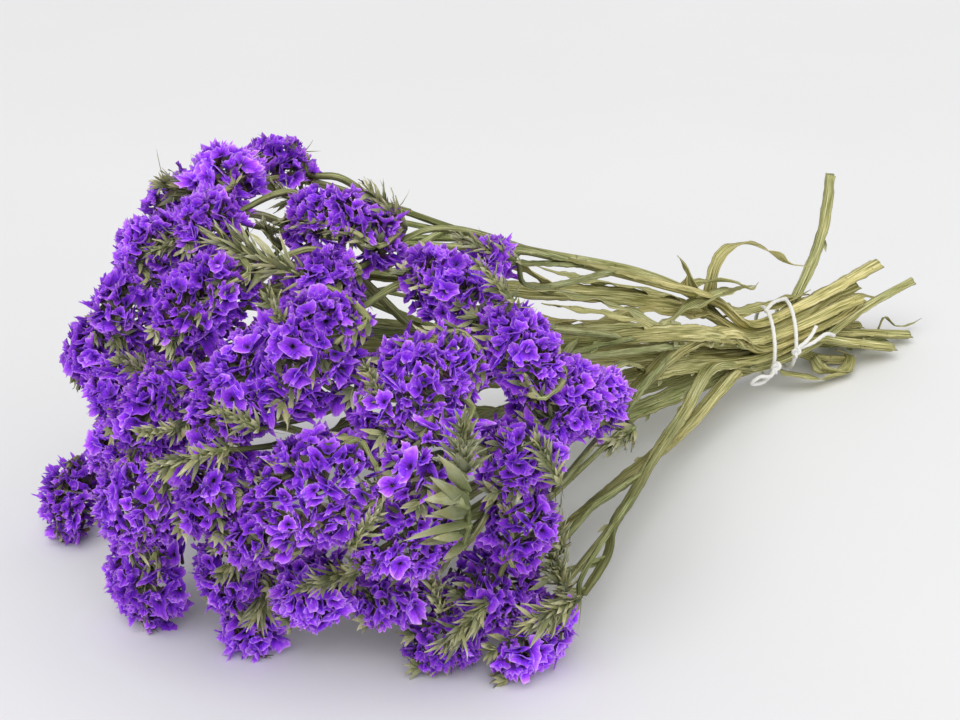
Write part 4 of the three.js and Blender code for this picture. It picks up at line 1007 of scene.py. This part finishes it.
class Nodes:
    """A material's node tree, with short ways to add and link nodes. A colour is three shares."""

    def __init__(self, name, roughness, sheen=0.0):
        self.material = bpy.data.materials.new(name)
        self.material.use_nodes = True
        self.tree = self.material.node_tree
        self.shader = self.tree.nodes["Principled BSDF"]
        self.shader.inputs["Roughness"].default_value = roughness
        self.shader.inputs["Specular IOR Level"].default_value = 0.3
        self.shader.inputs["Sheen Weight"].default_value = sheen
        self.place = self.add("ShaderNodeTexCoord").outputs["Object"]

    def add(self, kind, settings=(), **inputs):
        node = self.tree.nodes.new(kind)
        for key, value in dict(settings).items():
            setattr(node, key, value)
        for key, value in inputs.items():
            self.set(node.inputs[key.replace("_", " ")], value)
        return node

    def set(self, socket, value):
        if isinstance(value, bpy.types.NodeSocket):
            self.tree.links.new(value, socket)
        else:
            socket.default_value = (*value, 1.0) if socket.type == "RGBA" else value

    def value(self, name):
        return self.add("ShaderNodeAttribute", {"attribute_name": name}).outputs["Fac"]

    def math(self, operation, a, b=0.0):
        node = self.add("ShaderNodeMath", {"operation": operation})
        self.set(node.inputs[0], a)
        self.set(node.inputs[1], b)
        return node.outputs[0]

    def times(self, a, b):
        return self.math("MULTIPLY", a, b)

    def plus(self, a, b):
        return self.math("ADD", a, b)

    def noise(self, place, scale, detail=3.0, rough=0.55):
        return self.add("ShaderNodeTexNoise", Vector=place, Scale=scale, Detail=detail,
                        Roughness=rough).outputs["Fac"]

    def grain(self, values, scales, *noise):
        """Noise stretched over values of the mesh, each times its scale."""
        x, y, z = (self.times(value, scale) for value, scale in zip(values, scales))
        return self.noise(self.add("ShaderNodeCombineXYZ", X=x, Y=y, Z=z).outputs[0], *noise)

    def ramp(self, fac, *stops):
        node = self.add("ShaderNodeValToRGB")
        self.set(node.inputs[0], fac)
        elements = node.color_ramp.elements
        while len(elements) < len(stops):
            elements.new(0.5)
        for element, (position, colour) in zip(elements, stops):
            element.position = position
            element.color = (*colour, 1.0)
        return node.outputs[0]

    def mix(self, fac, a, b, blend="MIX"):
        node = self.add("ShaderNodeMix", {"data_type": "RGBA", "blend_type": blend})
        self.set(node.inputs[0], fac)
        self.set(node.inputs[6], a)
        self.set(node.inputs[7], b)
        return node.outputs[2]

    def tinted(self, colour, tint):
        return self.mix(1.0, colour, tint, "MULTIPLY")

    def finish(self, colour, height, strength, distance):
        """Sets the surface's colour and its bumps."""
        bump = self.add("ShaderNodeBump", Height=height, Strength=strength, Distance=distance)
        self.set(self.shader.inputs["Base Color"], colour)
        self.set(self.shader.inputs["Normal"], bump.outputs[0])
        return self.material

    def let_through(self, colour, share):
        """Lets light through the sheet: part of the surface glows with what falls behind it."""
        behind = self.add("ShaderNodeBsdfTranslucent", Color=colour)
        mix = self.add("ShaderNodeMixShader", Fac=share)
        self.set(mix.inputs[1], self.shader.outputs[0])
        self.set(mix.inputs[2], behind.outputs[0])
        self.set(self.tree.nodes["Material Output"].inputs["Surface"], mix.outputs[0])


def petal_material():
    """Violet paper: a brown foot, a throat darkened with painted shade, paler to the rim with a painted
    highlight, with veins and fine specks.
    """
    n = Nodes("calyx", 0.62, 0.12)
    # From the calyx's foot to its rim: the dark throat is painted shade of the tube's inside, and the pale
    # rim is a painted highlight where its edge catches the light
    colour = n.ramp(n.value("reach"), (0.0, srgb(110, 84, 52)), (0.4, srgb(84, 34, 84)),
                    (0.7, srgb(114, 34, 188)), (0.82, srgb(154, 50, 248)),
                    (0.94, srgb(186, 94, 255)), (1.0, srgb(214, 152, 255)))
    dark_tint, pale_tint = (0.66, 0.42, 0.80), (1.45, 1.90, 1.32)
    colour = n.tinted(colour, n.mix(n.value("tone"), dark_tint, pale_tint))
    vein_count = 15.0
    veins = n.math("SINE", n.times(n.value("across"), FULL_TURN * vein_count))
    specks = n.ramp(n.noise(n.place, 700.0, 4.0, 0.7), (0.35, BLACK), (0.65, WHITE))
    between, on_line = (1.16, 1.2, 1.08), (0.66, 0.5, 0.8)
    colour = n.mix(n.plus(n.times(veins, 0.12), n.times(specks, 0.75)),
                   n.tinted(colour, between), n.tinted(colour, on_line))
    n.let_through(n.tinted(colour, (1.3, 1.15, 1.15)), 0.15)
    crinkle = n.plus(n.noise(n.place, 900.0), n.times(veins, 0.15))
    return n.finish(colour, crinkle, 0.7, 0.001)


def stem_material():
    """Dry green straw: long streaks, paler edges, brown specks, and painted shade that darkens it deep in
    the bunch.
    """
    n = Nodes("stem", 0.7)
    across, along, tone = n.value("across"), n.value("along"), n.value("tone")
    streak = n.grain((across, along, tone), (5.0, 0.03, 40.0), 1.6, 4.0, 0.6)
    cloud = n.noise(n.place, 45.0)
    colour = n.ramp(streak, (0.28, srgb(76, 78, 42)), (0.42, srgb(146, 146, 94)),
                    (0.58, srgb(208, 205, 156)), (0.74, srgb(250, 248, 222)))
    tint = n.ramp(n.plus(n.times(tone, 0.6), n.times(cloud, 0.5)), (0.2, (0.68, 0.80, 0.58)),
                  (0.5, (0.92, 0.96, 0.84)), (0.85, (1.18, 1.08, 0.85)))
    colour = n.tinted(colour, tint)
    edge = n.ramp(n.math("ABSOLUTE", across), (0.72, BLACK), (1.0, WHITE))
    colour = n.mix(n.times(edge, 0.5), colour, srgb(188, 178, 120))
    specks = n.ramp(n.noise(n.place, 260.0, 2.0), (0.66, BLACK), (0.74, WHITE))
    colour = n.mix(n.times(specks, 0.55), colour, srgb(96, 72, 44))
    # Painted shade: the far ends of straps and twigs, which lie deep in the bunch, and the leaves set deep
    # there turn darker by their reach
    deep_shade_tint = n.ramp(n.value("reach"), (0.6, WHITE), (0.88, (0.42, 0.45, 0.36)))
    ribs = n.math("SINE", n.plus(n.times(across, 30.0), n.times(streak, 3.0)))
    height = n.plus(n.times(ribs, 0.4), n.noise(n.place, 700.0))
    return n.finish(n.tinted(colour, deep_shade_tint), height, 0.5, 0.0008)


def bract_material():
    """Green bracts that are dry and straw-coloured at their tips and edges."""
    n = Nodes("bract", 0.72)
    reach, across, tone = n.value("reach"), n.value("across"), n.value("tone")
    # Low tones give dark green: the bracts under the calyces take only these, painted shade
    green = n.ramp(tone, (0.0, srgb(44, 54, 30)), (0.3, srgb(96, 106, 62)),
                   (0.6, srgb(132, 140, 86)), (1.0, srgb(194, 190, 132)))
    straw = n.ramp(n.noise(n.place, 160.0), (0.35, srgb(222, 212, 158)),
                   (0.6, srgb(255, 250, 222)), (0.75, srgb(186, 146, 98)))
    edge = n.math("POWER", n.math("ABSOLUTE", across), 3.0)
    dry = n.math("MAXIMUM", n.math("POWER", reach, 1.6), n.times(edge, 0.5))
    colour = n.mix(n.times(dry, n.plus(0.3, n.times(tone, 0.8))), green, straw)
    streak = n.grain((across, reach, tone), (6.0, 0.8, 50.0), 2.5)
    colour = n.mix(n.times(streak, 0.8), colour, n.tinted(colour, (0.45, 0.5, 0.4)))
    return n.finish(colour, streak, 0.5, 0.0006)


def string_material():
    """White cotton with fibres along its strands."""
    n = Nodes("string", 0.85, 0.3)
    fibre = n.grain((n.value("across"), n.value("along"), 0.0), (12.0, 0.7, 1.0), 3.0, 4.0)
    colour = n.ramp(fibre, (0.3, srgb(214, 212, 206)), (0.6, srgb(240, 239, 235)))
    return n.finish(colour, fibre, 0.5, 0.0003)


def floor_material():
    n = Nodes("pale_floor", 0.6)
    colour = n.ramp(n.noise(n.place, 3.0), (0.3, srgb(233, 233, 234)), (0.7, srgb(236, 236, 237)))
    n.set(n.shader.inputs["Base Color"], colour)
    return n.material


# ---- Pieces ----

def make_piece(name, sheaf, materials, node):
    """Turns a sheaf into a mesh object in metres that stands for a CAD node."""
    points = (np.concatenate(sheaf.points) + SHIFT) * MM
    loops = np.concatenate([part.ravel() for part in sheaf.faces])
    totals = np.concatenate([np.full(len(part), part.shape[1]) for part in sheaf.faces])
    starts = np.concatenate([[0], np.cumsum(totals)[:-1]])
    mesh = bpy.data.meshes.new(name)
    mesh.vertices.add(len(points))
    mesh.vertices.foreach_set("co", points.astype(np.float32).ravel())
    mesh.loops.add(len(loops))
    mesh.loops.foreach_set("vertex_index", loops.astype(np.int32))
    mesh.polygons.add(len(totals))
    mesh.polygons.foreach_set("loop_start", starts.astype(np.int32))
    mesh.polygons.foreach_set("material_index", np.concatenate(sheaf.looks).astype(np.int32))
    mesh.update(calc_edges=True)
    mesh.validate()
    mesh.polygons.foreach_set("use_smooth", np.ones(len(mesh.polygons), bool))
    for key, values in sheaf.values.items():
        attribute = mesh.attributes.new(key, "FLOAT", "POINT")
        attribute.data.foreach_set("value", np.concatenate(values).astype(np.float32))
    for material in materials:
        mesh.materials.append(material)
    piece = bpy.data.objects.new(name, mesh)
    bpy.context.scene.collection.objects.link(piece)
    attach(piece, "root")
    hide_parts(node)


def build_bunch():
    """Every stem, every head, and the string that ties them."""
    stem_look, bract_look, petal_look = stem_material(), bract_material(), petal_material()
    spikes, grown = [], []
    for stem in STEMS:
        fork = np.array(stem["reach"][-1], float)
        own = [spike_axes(spike, len(spikes) + k, fork) for k, spike in enumerate(stem["spikes"], 1)]
        grown.append((stem, own))
        spikes += own
    for spike in spikes:
        place_calyces(spike, spikes)
    for number, (stem, own) in enumerate(grown, 1):
        sheaf = grow_stem(stem, own, np.random.default_rng(SEED + number))
        node = f"stem_{number:02d}"
        make_piece(node + "_grown", sheaf, [stem_look, bract_look], node)
    for spike in spikes:
        sheaf = flower_head(spike, np.random.default_rng(HEAD_SEED + spike["head"]))
        node = f"head_{spike['head']:02d}"
        make_piece(node + "_calyces", sheaf, [petal_look], node)
    sheaf = tie_string(np.random.default_rng(STRING_SEED))
    make_piece("twisted_string", sheaf, [string_material()], "tie_string")


# ---- Stage, light and camera, in metres ----

FLOOR_SIZE = 60.0
SUN_PLACE, SUN_STRENGTH, SUN_SOFTNESS = (-0.55, -0.30, 0.90), 1.5, 50.0
PANEL_PLACE, PANEL_TARGET = (-0.4, -2.2, 1.7), (-0.1, -0.1, 0.0)
PANEL_SIZE, PANEL_ENERGY = 3.0, 26.0
WORLD_STRENGTH = 0.55


def add_stage():
    bpy.ops.mesh.primitive_plane_add(size=FLOOR_SIZE)
    floor = bpy.context.object
    floor.name = "pale_floor"
    floor.data.materials.append(floor_material())


def put_in_scene(name, data, place, back):
    """Puts a light or camera in its place, with its back the given way."""
    thing = bpy.data.objects.new(name, data)
    thing.location = place
    thing.rotation_euler = back.to_track_quat("Z", "Y").to_euler()
    bpy.context.scene.collection.objects.link(thing)
    return thing


def add_lights():
    sun = bpy.data.lights.new("key", "SUN")
    sun.energy = SUN_STRENGTH
    sun.angle = math.radians(SUN_SOFTNESS)
    put_in_scene("key", sun, (0.0, 0.0, 0.0), Vector(SUN_PLACE))
    panel = bpy.data.lights.new("fill", "AREA")
    panel.size = PANEL_SIZE
    panel.energy = PANEL_ENERGY
    put_in_scene("fill", panel, PANEL_PLACE, Vector(PANEL_PLACE) - Vector(PANEL_TARGET))
    world = bpy.data.worlds.new("studio")
    world.use_nodes = True
    background = world.node_tree.nodes["Background"]
    background.inputs["Color"].default_value = (*WHITE, 1.0)
    background.inputs["Strength"].default_value = WORLD_STRENGTH
    bpy.context.scene.world = world


def add_camera():
    azimuth, elevation = math.radians(CAMERA_AZIMUTH), math.radians(CAMERA_ELEVATION)
    back = Vector((math.sin(azimuth) * math.cos(elevation), -math.cos(azimuth) * math.cos(elevation),
                   math.sin(elevation)))
    camera = bpy.data.cameras.new("camera")
    camera.sensor_fit = "HORIZONTAL"
    camera.angle = math.radians(CAMERA_WIDE)
    camera.clip_start = 0.01
    target = Vector((np.array(CAMERA_TARGET) + SHIFT) * MM)
    eye = put_in_scene("camera", camera, target + back * CAMERA_DISTANCE * MM, back)
    bpy.context.scene.camera = eye


add_camera()
build_bunch()
add_stage()
add_lights()
bpy.context.scene.view_settings.view_transform = "Standard"


def corners(box):
    return [[float(value) for value in corner] for corner in box]
